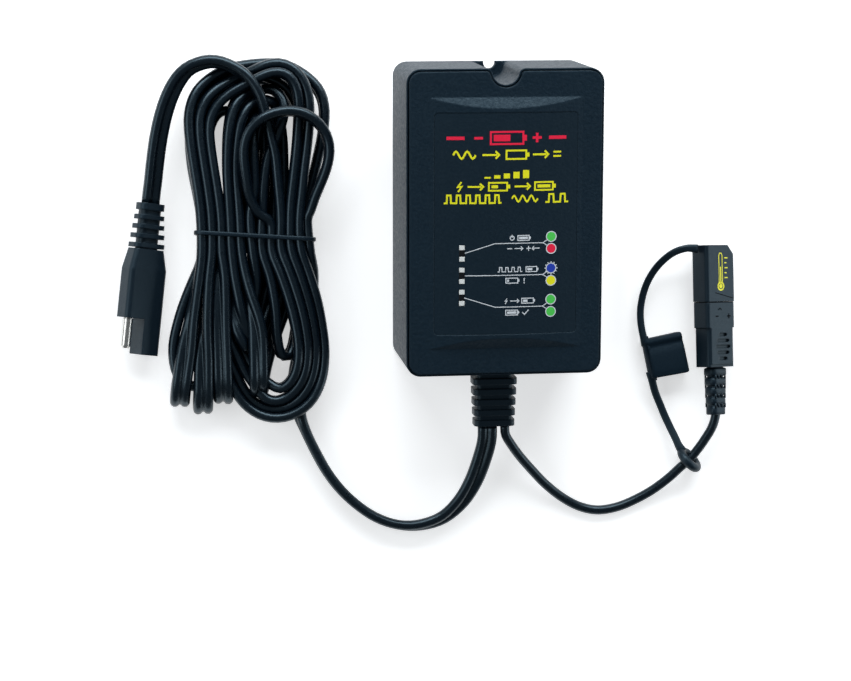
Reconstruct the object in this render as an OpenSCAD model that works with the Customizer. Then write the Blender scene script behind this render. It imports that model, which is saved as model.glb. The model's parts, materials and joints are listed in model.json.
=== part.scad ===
/* [Case] */
// Width of the case
case_w = 76; // [74:1:78]
// Height of the case, from its cable end to its notched end
case_h = 118; // [116:1:120]
// Depth of the case, from its back face to its front rim
case_d = 44; // [42:1:46]
// Radius of the case's four long corners
corner_r = 5.5; // [4:0.5:7]
// Thickness of the case's side walls
wall = 2.2; // [1.8:0.1:2.6]
// Thickness of the back wall, which is also the screw flange
back_t = 2.5; // [2:0.1:3]
// Width of the dark gap round the front cover
lid_gap = 0.3; // [0.2:0.05:0.4]
// How far the front cover stands above the rim
lid_proud = 1.4; // [1:0.1:1.8]

/* [Notch] */
// Radius of the notch for the outlet's centre screw
notch_r = 5.2; // [4.5:0.1:6]
// Radius of the notch's rounded shoulders
notch_lip_r = 2.5; // [2.3:0.1:3]
// Width of the screw slot in the flange
slot_w = 4.7; // [4:0.1:5]
// Depth of the screw slot, from the top edge
slot_depth = 2.9; // [2.6:0.1:3.2]

/* [Front pad] */
// Width of the raised, bowed pad
pad_w = 59.2; // [58:0.2:60]
// Height of the pad at its middle line
pad_h = 2.2; // [1.8:0.1:2.6]
// Distance from the pad's ends to the case's ends
pad_margin = 10.7; // [10:0.1:12]
// Length of the pad's sloping ends
pad_slope = 4.2; // [3:0.1:5]
// Width of the label panel
label_w = 55; // [54:0.5:56]
// Height of the label panel
label_h = 84.8; // [82:0.2:86]

/* [Mains plug] */
// Length of a blade outside the back face
blade_len = 16.5; // [15.9:0.1:18.2]
// Width of a blade
blade_w = 6.35; // [6.1:0.05:6.6]
// Thickness of a blade
blade_t = 1.5; // [1.4:0.05:1.6]
// Distance between the two blades' middle planes
blade_pitch = 12.7; // [12.5:0.1:12.9]
// Distance from the screw slot down to the blades
blade_drop = 15; // [14:0.5:18]

/* [Leads] */
// Width of the flat twin output lead
twin_w = 7.8; // [7.4:0.1:8]
// Thickness of the flat twin output lead
twin_t = 3.9; // [3.7:0.1:4.1]
// Diameter of the round sensor lead
sensor_d = 3.8; // [3.4:0.1:4]
// Length of the cable gland outside the case
gland_len = 24.8; // [24:0.2:26]
// Height of the tied hank
hank_t = 17.5; // [16:0.5:19]

/* [Output plug] */
// Width of the plug body
plug_w = 17; // [16.5:0.1:17.5]
// Thickness of the plug body
plug_t = 8.6; // [8.4:0.1:8.9]
// Distance between the plug's pin and its socket
plug_pitch = 9.2; // [9:0.1:9.4]
// Diameter of the plug's bare pin
plug_pin_d = 4; // [3.8:0.1:4.1]

/* [Sensor connector] */
// Width of the sensor block
block_w = 15.8; // [15.4:0.1:16.2]
// Thickness of the sensor block
block_t = 9; // [8.8:0.1:9.4]
// Length of the sensor block
block_len = 22.8; // [22:0.2:24]
// Diameter of the sensor contacts' pins
contact_d = 3; // [2.8:0.1:3.1]
// Distance between the two sensor contacts
contact_pitch = 8; // [7.9:0.1:8.2]
// Outer size of the square dust cap
cap_size = 16; // [15.6:0.1:16.4]
// Thickness of the dust cap
cap_t = 9; // [8.6:0.1:9.4]

/* [Hidden] */
$fn = 48;

// Colours
case_black = [0.08, 0.12, 0.17];
label_black = [0.07, 0.1, 0.14];
rubber_black = [0.06, 0.09, 0.13];
cord_black = [0.04, 0.07, 0.1];
nickel = [0.8, 0.8, 0.78];
brass = [0.75, 0.62, 0.3];
copper = [0.72, 0.42, 0.22];
steel = [0.65, 0.66, 0.68];
ferrite = [0.2, 0.2, 0.22];

// The case lies on its back, held up at its notched end by the tips of the blades
slot_y = case_h - slot_depth + slot_w / 2;
blade_y = slot_y - blade_drop;
tilt = atan(blade_len / (blade_y - blade_w / 2));
shift_y = -(case_h * cos(tilt) - case_d * sin(tilt)) / 2;

// Case: levels along its depth
rim_lip = 0.7;
rim_z = case_d - lid_proud;
lid_inset = rim_lip + lid_gap;
lid_t = 3;
lid_z = case_d - lid_t;

// Notch: its centre, and the centres of its two rounded shoulders
notch_y = case_h - 1;
lip_y = case_h - notch_lip_r;
lip_x = sqrt(pow(notch_r + notch_lip_r, 2) - pow(notch_y - lip_y, 2));
lip_a = atan((notch_y - lip_y) / lip_x);

// Pad: the cylinder that its face lies on
pad_r = (pow(pad_w / 2, 2) + pow(pad_h, 2)) / (2 * pad_h);
pad_axis_z = case_d + pad_h - pad_r;
label_depth = 0.4;
label_skin = 0.35;
label_corner = 1.5;
pad_fine = 360;

// Indicator windows, down the left side of the label
window_x = -17;
window_ys = [48, 39.4, 30.9];
window_w = 2.1;
window_h = 6.2;
diffuser_h = 1.8;
window_play = 0.1;

// Screw posts
cover_posts = [for (x = [-1, 1], y = [9, case_h - 9]) [x * (case_w / 2 - 8), y]];
board_posts = [for (x = [-1, 1], y = [20, 96]) [x * 29, y]];
post_r = 3.5;
cover_screw_r = 1.45;
cover_post_z = 13;
cover_head_r = 2.8;

// Circuit board
board_z = 33;
board_t = 1.6;
board_w = 66;
board_y0 = 14;
board_y1 = 104;

// Gland
gland_z = 18;
gland_w = 18.2;
gland_t = 10;
twin_x = -2.4;
thin_x = 4.6;

// Output plug: where it lies, how it is turned, and how far it has rolled on its edge
plug_roll = 32;
conn_roll = 30;
plug_turn = -7;
plug_round = 2;
plug_at = [
    -133.4, 8,
    (plug_w / 2 - plug_round) * sin(plug_roll) + (plug_t / 2 - plug_round) * cos(plug_roll) + plug_round
];
pin_x = -plug_pitch / 2 - 0.5;
socket_x = plug_pitch / 2 - 0.5;
guard_len = 18;
plug_len = 27.4;
plug_taper = 8;
pin_len = 12;
neck = 0.3;
shroud_len = 14;

// Sensor connector: it lies along Y, rolled on its edge as the plug is
conn_x = 92.4;
conn_round = 1.4;
conn_z = (block_w / 2 - conn_round) * sin(conn_roll) + (block_t / 2 - conn_round) * cos(conn_roll)
    + conn_round;
boot_y = -81;
grip_y = -61.6;
collar_y = -45.8;
mating_y = -35.6;
mating_gap = 0.4;
block_y = mating_y + mating_gap;
contact_len = 8.6;
contact_play = 0.05;
sleeve_t = 0.5;

// Tether
cap_at = [72.7, -56.6, 0.2];
cap_turn = 10.7;
cap_wall = 1;
cap_rib_x = 1.5 - cap_size / 2;
ring_at = [81.3, -99, 6];
ring_r = 4.4;
ring_tube = 1.8;
ring_heading = 45;
ring_rise = 23;
strap_w = 2.8;
strap_t = 2;

// Routes of the leads and straps, in the order in which they run from the case
function from_case(p) = [
    p[0],
    p[1] * cos(tilt) - p[2] * sin(tilt) + shift_y,
    p[1] * sin(tilt) + p[2] * cos(tilt)
];
lead_exit = from_case([twin_x, -gland_len - 0.1, gland_z]);
sensor_exit = from_case([thin_x, -gland_len - 0.2, gland_z]);
lead_route = concat([lead_exit, lead_exit + [-0.1, -6, -1]], [
    [-4.2, -95.4, 10.8], [-8, -105.6, 8.4], [-13.2, -113.6, 6.6], [-20.4, -119.6, 5.2],
    [-30, -122.2, 4.4], [-38.4, -121.6, 4], [-46.8, -118.4, 4], [-54, -113.4, 4],
    [-60.5, -107.1, 4], [-66, -99.6, 4], [-70.4, -91.4, 4], [-73.8, -84, 4.2],
    [-76.4, -77, 4.6]
]);
lead_rolls = [0, 0, 8, 22, 40, 60, 76, 86, 90, 90, 90, 90, 90, 90, 90];
tail_route = [
    [-117.2, 60.4, 13.4], [-121.4, 56.3, 13], [-124.8, 50.4, 12.4], [-127.6, 42.8, 11.6],
    [-129.8, 33.6, 10.6], [-131.3, 24, 9.4], [-132.3, 16, 8.2], plug_at + [0.6, 4.6, 0],
    plug_at + [0.02, 0.15, 0]
];
tail_rolls = [64, 46, 38, 34, 32, 32, 32, 32, 32];
sensor_route = concat([sensor_exit, sensor_exit + [0.3, -4, -0.7]], [
    [7.4, -90.4, 11.6], [11, -95.2, 9.6], [16, -100.8, 7], [22.5, -107.5, 4.4],
    [30, -113.4, 2.5], [37, -117.1, 1.95], [44, -118.6, 1.9], [52, -117.6, 1.9],
    [59.6, -114.8, 2], [66.3, -111.2, 3], [72.8, -106.4, 4.6], [77.8, -101.9, 5.6],
    [81.3, -99, 6], [84.8, -95, 6.3], [88, -90.6, 6.8], [90.8, -86, 7.2],
    [conn_x - 0.1, boot_y - 0.2, conn_z]
]);
upper_route = [
    [84.9, -13.8, 12], [80.6, -13.5, 12.2], [75.6, -15, 10.9], [71.4, -18.2, 8.9],
    [68.1, -22.2, 6.9], [65.5, -27, 5.3], [63.7, -32.6, 4.3], [62.8, -38.4, 3.9],
    [62.9, -44, 4.2], [63.7, -49.1, 4.7]
];
lower_route = [
    [66.9, -66.5, 4.7], [68.3, -71.3, 3.6], [70.4, -76.4, 2.8], [72.3, -81.2, 2.8],
    [74.3, -86, 3.6], [76.1, -90.3, 4.8], [77.3, -93.4, 5.6]
];

// ---- Shared shapes

function unit(v) = v / norm(v);

function arc(centre, r, from, to, steps) = [
    for (k = [0 : steps])
        let (a = from + (to - from) * k / steps)
        centre + r * [cos(a), sin(a)]
];

// The case's outline seen from the front, drawn in by inset all round
function case_points(inset) = concat(
    arc([corner_r - case_w / 2, corner_r], corner_r - inset, 180, 270, 8),
    arc([case_w / 2 - corner_r, corner_r], corner_r - inset, 270, 360, 8),
    arc([case_w / 2 - corner_r, case_h - corner_r], corner_r - inset, 0, 90, 8),
    arc([lip_x, lip_y], notch_lip_r - inset, 90, 180 - lip_a, 6),
    arc([0, notch_y], notch_r + inset, -lip_a, lip_a - 180, 14),
    arc([-lip_x, lip_y], notch_lip_r - inset, lip_a, 90, 6),
    arc([corner_r - case_w / 2, case_h - corner_r], corner_r - inset, 90, 180, 8)
);

// The same outline with no notch
function plain_points(inset) = concat(
    arc([corner_r - case_w / 2, corner_r], corner_r - inset, 180, 270, 8),
    arc([case_w / 2 - corner_r, corner_r], corner_r - inset, 270, 360, 8),
    arc([case_w / 2 - corner_r, case_h - corner_r], corner_r - inset, 0, 90, 8),
    arc([corner_r - case_w / 2, case_h - corner_r], corner_r - inset, 90, 180, 8)
);

module in_case() {
    translate([0, shift_y, 0])
        rotate([tilt, 0, 0])
            children();
}

module at_plug() {
    translate(plug_at)
        rotate([0, 0, plug_turn])
            rotate([0, plug_roll, 0])
                children();
}

module at_connector() {
    translate([conn_x, 0, conn_z])
        rotate([0, conn_roll, 0])
            children();
}

module at_cap() {
    translate(cap_at)
        rotate([0, 0, cap_turn])
            children();
}

// A rectangle with round corners, made of exact circles and squares
module round_rect(w, h, r) {
    square([w - 2 * r, h], center = true);
    square([w, h - 2 * r], center = true);
    for (x = [-1, 1], y = [-1, 1])
        translate([x * (w / 2 - r), y * (h / 2 - r)])
            circle(r);
}

// A bar along Y from y0 down to y1, with a round-cornered section: w across X, t across Z
module bar(w, t, r, y0, y1) {
    translate([0, y0, 0])
        rotate([90, 0, 0])
            linear_extrude(y0 - y1)
                round_rect(w, t, r);
}

// A round rod along Y from y0 down to y1
module rod(r, x, y0, y1) {
    translate([x, y0, 0])
        rotate([90, 0, 0])
            cylinder(r = r, h = y0 - y1);
}

// One oval ring of a swept tube, standing across the route's own direction
function oval_ring(centre, along, w, t, turn, sides) =
    let (side = unit(cross(along, [0, 0, 1])), up = cross(side, along))
    [
        for (k = [0 : sides - 1])
            let (a = 360 * (k + 0.5) / sides, u = w / 2 * cos(a), v = t / 2 * sin(a))
            centre + side * (u * cos(turn) - v * sin(turn)) + up * (u * sin(turn) + v * cos(turn))
    ];

// A closed tube along a route: w wide, t thick, turned about the route by turns
module swept_tube(route, w, t, turns, sides) {
    last = len(route) - 1;
    points = [
        for (i = [0 : last])
            let (along = unit(route[min(i + 1, last)] - route[max(i - 1, 0)]))
            each oval_ring(route[i], along, w, t, turns[i], sides)
    ];
    walls = [
        for (i = [0 : last - 1], k = [0 : sides - 1])
            let (a = i * sides + k, b = i * sides + (k + 1) % sides)
            each [[a, b, b + sides], [a, b + sides, a + sides]]
    ];
    first_end = [for (k = [sides - 1 : -1 : 0]) k];
    last_end = [for (k = [0 : sides - 1]) last * sides + k];
    polyhedron(points = points, faces = concat([first_end], walls, [last_end]));
}

// ---- Case

module back_cover() {
    color(case_black)
        in_case()
            difference() {
                union() {
                    linear_extrude(rim_z)
                        polygon(case_points(0));
                    linear_extrude(back_t)
                        polygon(plain_points(0));
                }
                difference() {
                    translate([0, 0, back_t])
                        linear_extrude(case_d)
                            polygon(case_points(wall));
                    for (p = cover_posts)
                        translate([p[0], p[1], 0])
                            cylinder(r = post_r + 0.5, h = cover_post_z);
                }
                translate([0, 0, lid_z - 0.05])
                    linear_extrude(case_d)
                        polygon(case_points(rim_lip));
                screw_slot();
                for (p = cover_posts)
                    translate([p[0], p[1], 0])
                        cover_screw_hole();
                blade_holes();
                gland_opening();
            }
}

module screw_slot() {
    translate([0, slot_y, -1])
        cylinder(r = slot_w / 2, h = back_t + 2);
    translate([-slot_w / 2, slot_y, -1])
        cube([slot_w, slot_w, back_t + 2]);
}

module cover_screw_hole() {
    translate([0, 0, -1])
        cylinder(r = cover_screw_r + 0.15, h = cover_post_z + 2);
    translate([0, 0, -1])
        cylinder(r = cover_head_r + 0.3, h = 4);
}

module blade_holes() {
    for (x = [-1, 1])
        translate([x * blade_pitch / 2, blade_y, 0])
            cube([blade_t + 0.2, blade_w + 0.2, 4 * back_t], center = true);
}

module gland_opening() {
    translate([0, 0, gland_z])
        bar(gland_w - 3.2, gland_t - 2.2, 2, wall + 1, -1);
}

module front_cover() {
    color(case_black)
        in_case()
            difference() {
                union() {
                    translate([0, 0, lid_z])
                        linear_extrude(lid_t)
                            polygon(case_points(lid_inset));
                    bowed_pad();
                    for (p = cover_posts)
                        translate([p[0], p[1], cover_post_z + 0.2])
                            cylinder(r = post_r, h = lid_z - cover_post_z);
                    for (p = board_posts)
                        translate([p[0], p[1], board_z + board_t])
                            cylinder(r = post_r - 0.5, h = lid_z - board_z - board_t + 1);
                }
                label_block(0.1, pad_r - label_depth, 20);
                for (y = window_ys)
                    translate([window_x, y, lid_z])
                        cube([window_w + 0.4, window_h + 0.4, 20], center = true);
                for (p = cover_posts)
                    translate([p[0], p[1], cover_post_z - 1])
                        cylinder(r = cover_screw_r + 0.05, h = 14);
                for (p = board_posts)
                    translate([p[0], p[1], board_z + board_t - 1])
                        cylinder(r = 1.15, h = 6);
            }
}

// The pad: a wide shallow cylinder, cut off by a block with sloping ends
module bowed_pad() {
    low = pad_margin;
    high = case_h - pad_margin;
    intersection() {
        translate([0, low, pad_axis_z])
            rotate([-90, 0, 0])
                cylinder(r = pad_r, h = high - low, $fn = pad_fine);
        translate([pad_w / 2, 0, 0])
            rotate([90, 0, -90])
                linear_extrude(pad_w)
                    polygon([
                        [-low, case_d - 1], [-low, case_d], [-low - pad_slope, case_d + pad_h],
                        [pad_slope - high, case_d + pad_h], [-high, case_d], [-high, case_d - 1]
                    ]);
    }
}

// A block with the label's outline, hollowed from below by a cylinder on the pad's axis
module label_block(play, inner_r, high) {
    difference() {
        translate([0, case_h / 2, case_d - 2])
            linear_extrude(high)
                round_rect(label_w + 2 * play, label_h + 2 * play, label_corner);
        translate([0, 0, pad_axis_z])
            rotate([-90, 0, 0])
                cylinder(r = inner_r, h = case_h, $fn = pad_fine);
    }
}

module label_panel() {
    color(label_black)
        in_case()
            difference() {
                intersection() {
                    label_block(0, pad_r - label_depth + 0.03, 20);
                    translate([0, 1, pad_axis_z])
                        rotate([-90, 0, 0])
                            cylinder(r = pad_r - label_depth + label_skin, h = case_h - 2, $fn = pad_fine);
                }
                for (y = window_ys)
                    translate([window_x, y, case_d])
                        cube([window_w + 0.2, window_h + 0.2, 20], center = true);
            }
}

// How high the label's face stands over the windows
window_top = pad_axis_z + sqrt(pow(pad_r - label_depth + label_skin, 2) - pow(window_x, 2));

module indicator_lenses() {
    color([0.12, 0.13, 0.15])
        in_case()
            for (y = window_ys)
                translate([window_x, y, window_top - 1.3])
                    cube([window_w, window_h - 2 * diffuser_h - window_play, 2.4], center = true);
}

module light_diffusers() {
    color([0.93, 0.94, 0.93])
        in_case()
            for (y = window_ys, side = [-1, 1])
                translate([window_x, y + side * (window_h - diffuser_h) / 2, window_top - 1.25])
                    cube([window_w, diffuser_h, 2.5], center = true);
}

module cover_screws() {
    color(steel)
        in_case()
            for (p = cover_posts)
                translate([p[0], p[1], 0])
                    difference() {
                        union() {
                            translate([0, 0, 1])
                                cylinder(r = cover_head_r, h = 2);
                            translate([0, 0, 2])
                                cylinder(r = cover_screw_r, h = 20);
                        }
                        for (a = [0, 90])
                            translate([0, 0, 1])
                                rotate([0, 0, a])
                                    cube([3.2, 0.7, 2], center = true);
                    }
}

// ---- Mains plug

module mains_blade(side) {
    color(nickel)
        in_case()
            difference() {
                union() {
                    translate([side * blade_pitch / 2, blade_y, (9 - blade_len + 1.2) / 2])
                        cube([blade_t, blade_w, blade_len + 9 - 1.2], center = true);
                    translate([side * blade_pitch / 2, blade_y, 0.6 - blade_len])
                        cube([blade_t * 0.6, blade_w, 1.2], center = true);
                }
                translate([side * blade_pitch / 2, blade_y, 3 - blade_len])
                    rotate([0, 90, 0])
                        cylinder(r = 1.6, h = 3, center = true);
            }
}

module mains_blade_left() {
    mains_blade(-1);
}

module mains_blade_right() {
    mains_blade(1);
}

module blade_carrier() {
    color([0.16, 0.17, 0.19])
        in_case()
            difference() {
                translate([0, blade_y - 1, back_t + 2.6])
                    cube([24, 10.6, 5], center = true);
                for (x = [-1, 1])
                    translate([x * blade_pitch / 2, blade_y, 6])
                        cube([blade_t + 0.1, blade_w + 0.1, 20], center = true);
            }
}

// A wire along a route: round rods, with a slightly fatter round joint at each bend
module wire(points, r) {
    for (i = [0 : len(points) - 2]) {
        step = points[i + 1] - points[i];
        flat = norm([step[0], step[1]]);
        translate(points[i])
            rotate([0, atan2(flat, step[2]), atan2(step[1], step[0])])
                cylinder(r = r, h = norm(step), $fn = 16);
    }
    for (i = [1 : len(points) - 2])
        translate(points[i])
            sphere(r = 1.15 * r, $fn = 16);
}

module mains_wires() {
    color([0.85, 0.85, 0.82])
        in_case()
            for (x = [-1, 1])
                wire([
                    [x * (blade_pitch / 2 + 1.8), blade_y, 8.6], [x * 14, blade_y, 12],
                    [x * 16, 98, 22], [x * 16, 98, board_z - 0.1]
                ], 0.9);
}

// ---- Circuit board and what stands on it

module circuit_board() {
    color([0.05, 0.3, 0.16])
        in_case()
            difference() {
                translate([-board_w / 2, board_y0, board_z])
                    cube([board_w, board_y1 - board_y0, board_t]);
                for (p = board_posts)
                    translate([p[0], p[1], board_z - 1])
                        cylinder(r = 1.4, h = board_t + 2);
            }
}

module board_screws() {
    color(steel)
        in_case()
            for (p = board_posts)
                translate([p[0], p[1], board_z]) {
                    translate([0, 0, -1.6])
                        cylinder(r = 2.4, h = 1.5);
                    translate([0, 0, -1])
                        cylinder(r = 1.1, h = 6);
                }
}

module status_leds() {
    color([0.9, 0.92, 0.9])
        in_case()
            for (y = window_ys)
                translate([window_x, y, board_z + board_t + 1.6])
                    cube([2, 5, 3], center = true);
}

trafo = [6, 70];
trafo_w = 26;
trafo_l = 24;
trafo_h = 21;
core_t = 7;

module transformer_core() {
    color(ferrite)
        in_case()
            translate([trafo[0], trafo[1], board_z - 3])
                difference() {
                    translate([-trafo_w / 2, -core_t / 2, -trafo_h])
                        cube([trafo_w, core_t, trafo_h]);
                    for (x = [-1, 1])
                        translate([x * 6.6, 0, -trafo_h / 2])
                            cube([6, core_t + 2, trafo_h - 8], center = true);
                }
}

module transformer_bobbin() {
    color([0.1, 0.1, 0.1])
        in_case()
            translate([trafo[0], trafo[1], board_z])
                difference() {
                    union() {
                        translate([-9.4, -trafo_l / 2 + 2, -3])
                            cube([18.8, trafo_l - 4, 2.9]);
                        translate([0, 0, -trafo_h / 2 - 3])
                            cube([9.2, core_t + 2, trafo_h - 8.4], center = true);
                    }
                    translate([0, 0, -trafo_h / 2 - 3])
                        cube([7.3, core_t + 0.1, trafo_h + 0.02], center = true);
                }
}

module transformer_winding() {
    color([0.85, 0.7, 0.15])
        in_case()
            translate([trafo[0], trafo[1], board_z - 3 - trafo_h / 2])
                difference() {
                    translate([0, 0, 0])
                        cube([18.8, trafo_l - 5, trafo_h - 9], center = true);
                    cube([9.3, core_t + 2.1, trafo_h], center = true);
                }
}

choke = [-18, 50];
choke_r = 6.5;

module choke_core() {
    color([0.75, 0.7, 0.2])
        in_case()
            translate([choke[0], choke[1], board_z - 6])
                rotate_extrude()
                    translate([choke_r - 1.8, -2.4])
                        square([3.6, 4.8]);
}

module choke_winding() {
    color(copper)
        in_case()
            translate([choke[0], choke[1], board_z - 6])
                for (side = [0, 180], k = [-2 : 2])
                    rotate([0, 0, side + 25 * k])
                        translate([choke_r, 0, 0])
                            rotate([90, 0, 0])
                                difference() {
                                    cube([6.2, 7.4, 1.2], center = true);
                                    cube([4.2, 5.4, 2], center = true);
                                }
}

// A round capacitor standing on the board, with its groove near the foot
module capacitor(x, y, r, h) {
    translate([x, y, board_z - h])
        difference() {
            cylinder(r = r, h = h - 0.1);
            translate([0, 0, h - 3])
                difference() {
                    cylinder(r = r + 1, h = 0.8);
                    cylinder(r = r - 0.5, h = 0.8);
                }
        }
}

module input_capacitor() {
    color([0.1, 0.12, 0.3])
        in_case()
            capacitor(-22, 76, 8, 24);
}

module output_capacitors() {
    color([0.12, 0.12, 0.14])
        in_case() {
            capacitor(-4, 32, 5, 18);
            capacitor(8, 32, 5, 18);
        }
}

module bridge_rectifier() {
    color([0.12, 0.12, 0.12])
        in_case()
            translate([-8, 92, board_z - 2.3])
                difference() {
                    cube([14, 8, 4.4], center = true);
                    translate([7, 4, 0])
                        rotate([0, 0, 45])
                            cube([2.4, 2.4, 6], center = true);
                }
}

sink_x = 27.4;

module heatsink() {
    color([0.75, 0.76, 0.78])
        in_case()
            translate([sink_x, 50, board_z - 11.1]) {
                cube([1.6, 24, 22], center = true);
                for (k = [-2 : 2])
                    translate([2.6, k * 5, 0])
                        cube([3.8, 1.2, 22], center = true);
            }
}

module power_transistor() {
    color([0.1, 0.1, 0.11])
        in_case()
            translate([sink_x - 1, 50, board_z]) {
                translate([-2.5, 0, -10.5])
                    cube([4.4, 10, 9], center = true);
                translate([-1, 0, -12.5])
                    cube([1.2, 10, 15], center = true);
                for (k = [-1 : 1])
                    translate([-2.5, k * 2.54, -3.1])
                        cube([0.6, 0.8, 6], center = true);
            }
}

module fuse() {
    color([0.8, 0.78, 0.7])
        in_case()
            translate([22, 86, board_z - 3.4]) {
                rotate([0, 90, 0])
                    cylinder(r = 2.5, h = 16, center = true);
                for (x = [-1, 1])
                    translate([x * 8, 0, 0])
                        rotate([0, 90, 0])
                            cylinder(r = 3, h = 4, center = true);
            }
}

module control_chip() {
    color([0.1, 0.1, 0.1])
        in_case()
            translate([-18, 26, board_z - 2.4]) {
                cube([6.4, 19, 3.4], center = true);
                for (x = [-1, 1], k = [-3 : 4])
                    translate([x * 3.6, (k - 0.5) * 2.2, 0.9])
                        cube([1, 0.6, 2.8], center = true);
            }
}

module output_wires() {
    color([0.75, 0.1, 0.1])
        in_case()
            for (x = [-1, 1])
                wire([
                    [twin_x + 1.8 * x, 4.5, gland_z], [twin_x + 1.8 * x, 10, gland_z],
                    [twin_x + 3 * x, 18, 26], [twin_x + 3 * x, 19, board_z - 0.4]
                ], 1.1);
}

module sensor_wires() {
    color([0.9, 0.9, 0.9])
        in_case()
            for (x = [-1, 1])
                wire([
                    [thin_x + 0.8 * x, 4.8, gland_z], [thin_x + 2 + 0.8 * x, 9, gland_z],
                    [thin_x + 8 + 0.8 * x, 17, 26], [thin_x + 8 + 0.8 * x, 18, board_z - 0.3]
                ], 0.6);
}

// ---- Gland and leads

module strain_relief() {
    ribs = 6;
    pitch = 4.2;
    color(rubber_black)
        in_case()
            translate([0, 0, gland_z]) {
                bar(gland_w - 3.6, gland_t - 2.6, 2, 4.4, -0.1);
                bar(gland_w - 0.4, gland_t, 2, 4.4, wall + 0.1);
                bar(gland_w - 4, gland_t - 3, 2, -0.1, 1 - gland_len);
                bar(gland_w + 1.8, gland_t + 1.8, 2, -0.1, -1.6);
                for (k = [0 : ribs - 1])
                    bar(
                        gland_w - 0.4 * k, gland_t - 0.2 * k, 2.4,
                        -1.4 - pitch * k, k == ribs - 1 ? -gland_len : -3.8 - pitch * k
                    );
            }
}

module output_lead() {
    color(cord_black)
        swept_tube(lead_route, twin_w, twin_t, lead_rolls, 12);
}

module output_tail() {
    color(cord_black)
        swept_tube(tail_route, twin_w, twin_t, tail_rolls, 12);
}

module sensor_lead() {
    color(cord_black)
        swept_tube(sensor_route, sensor_d, sensor_d, [for (p = sensor_route) 0], 8);
}

// The hank's outline: a waist where the tie holds it, and a rounded lobe on each side
waist_x0 = -115.6;
waist_x1 = -70.2;
waist_y = -5.6;
tie_turn = -4.3;

module hank_outline() {
    hull() {
        translate([-109, -55])
            circle(20, $fn = 32);
        translate([-83, -60])
            circle(18, $fn = 32);
        translate([waist_x0, waist_y - 5])
            square([waist_x1 - waist_x0, 10]);
    }
    hull() {
        translate([-102, 47])
            circle(14, $fn = 32);
        translate([-82, 46])
            circle(19, $fn = 32);
        translate([-114, 60])
            circle(4, $fn = 32);
        translate([waist_x0, waist_y - 5])
            square([waist_x1 - waist_x0, 10]);
    }
}

module output_hank() {
    color(cord_black)
        difference() {
            linear_extrude(hank_t)
                hank_outline();
            for (z = [0, hank_t])
                translate([(waist_x0 + waist_x1) / 2, waist_y, z])
                    rotate([0, 0, tie_turn])
                        cube([60, 3, 3], center = true);
        }
}

module cable_tie() {
    tie_w = waist_x1 - waist_x0 + 1;
    color(rubber_black)
        translate([(waist_x0 + waist_x1) / 2, waist_y, hank_t / 2])
            rotate([0, 0, tie_turn])
                difference() {
                    bar(tie_w + 2, hank_t - 0.4, 1, 1.1, -1.1);
                    cube([tie_w, 4, hank_t - 2.8], center = true);
                }
}

// ---- Output plug

module plug_strain_relief() {
    ribs = 5;
    pitch = 3.7;
    color(rubber_black)
        at_plug() {
            bar(9, 5.6, 2.4, 0, -guard_len);
            for (k = [0 : ribs - 1])
                bar(
                    11 + 0.75 * k, 7.2 + 0.2 * k, 2.6,
                    k == 0 ? 0 : -0.9 - pitch * k, -2.7 - pitch * k
                );
        }
}

module plug_body() {
    body_y = -guard_len - plug_len;
    color(rubber_black)
        at_plug()
            difference() {
                union() {
                    hull() {
                        bar(13.4, 7.6, plug_round, -guard_len, -guard_len - 0.5);
                        bar(plug_w, plug_t, plug_round, -guard_len - plug_taper, -guard_len - plug_taper - 0.5);
                    }
                    bar(plug_w, plug_t, plug_round, -guard_len - plug_taper, body_y);
                    intersection() {
                        bar(plug_w, plug_t, plug_round, body_y + 1, body_y - shroud_len);
                        translate([plug_w / 2 - 0.1, body_y - 10, 0])
                            cube([plug_w, 40, 20], center = true);
                    }
                }
                rod(plug_pin_d / 2 - neck + 0.02, pin_x, body_y + 4, body_y - 1);
                rod(plug_pin_d / 2 + 0.62, socket_x, body_y, body_y - shroud_len - 1);
            }
}

module plug_pin() {
    body_y = -guard_len - plug_len;
    color(nickel)
        at_plug() {
            rod(plug_pin_d / 2 - neck, pin_x, body_y + 4, body_y - 0.5);
            rod(plug_pin_d / 2, pin_x, body_y - 0.3, body_y - pin_len + 1);
            translate([pin_x, body_y - pin_len + 1, 0])
                rotate([90, 0, 0])
                    cylinder(r1 = plug_pin_d / 2, r2 = plug_pin_d / 2 - 0.7, h = 1);
        }
}

module plug_socket() {
    body_y = -guard_len - plug_len;
    color(brass)
        at_plug()
            difference() {
                rod(plug_pin_d / 2 + 0.6, socket_x, body_y - 0.1, body_y - shroud_len + 1);
                rod(plug_pin_d / 2 + 0.05, socket_x, body_y - 1, body_y - shroud_len);
            }
}

// ---- Sensor connector

module connector_boot() {
    ribs = 5;
    pitch = (grip_y - boot_y) / ribs;
    color(rubber_black)
        at_connector() {
            bar(6, 4.8, 2, grip_y - 0.05, boot_y);
            for (k = [0 : ribs - 1])
                bar(8.9 - 0.35 * k, 6.6 - 0.2 * k, 2.2, grip_y - 0.6 - pitch * k, grip_y + 0.5 - pitch * (k + 1));
        }
}

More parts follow.
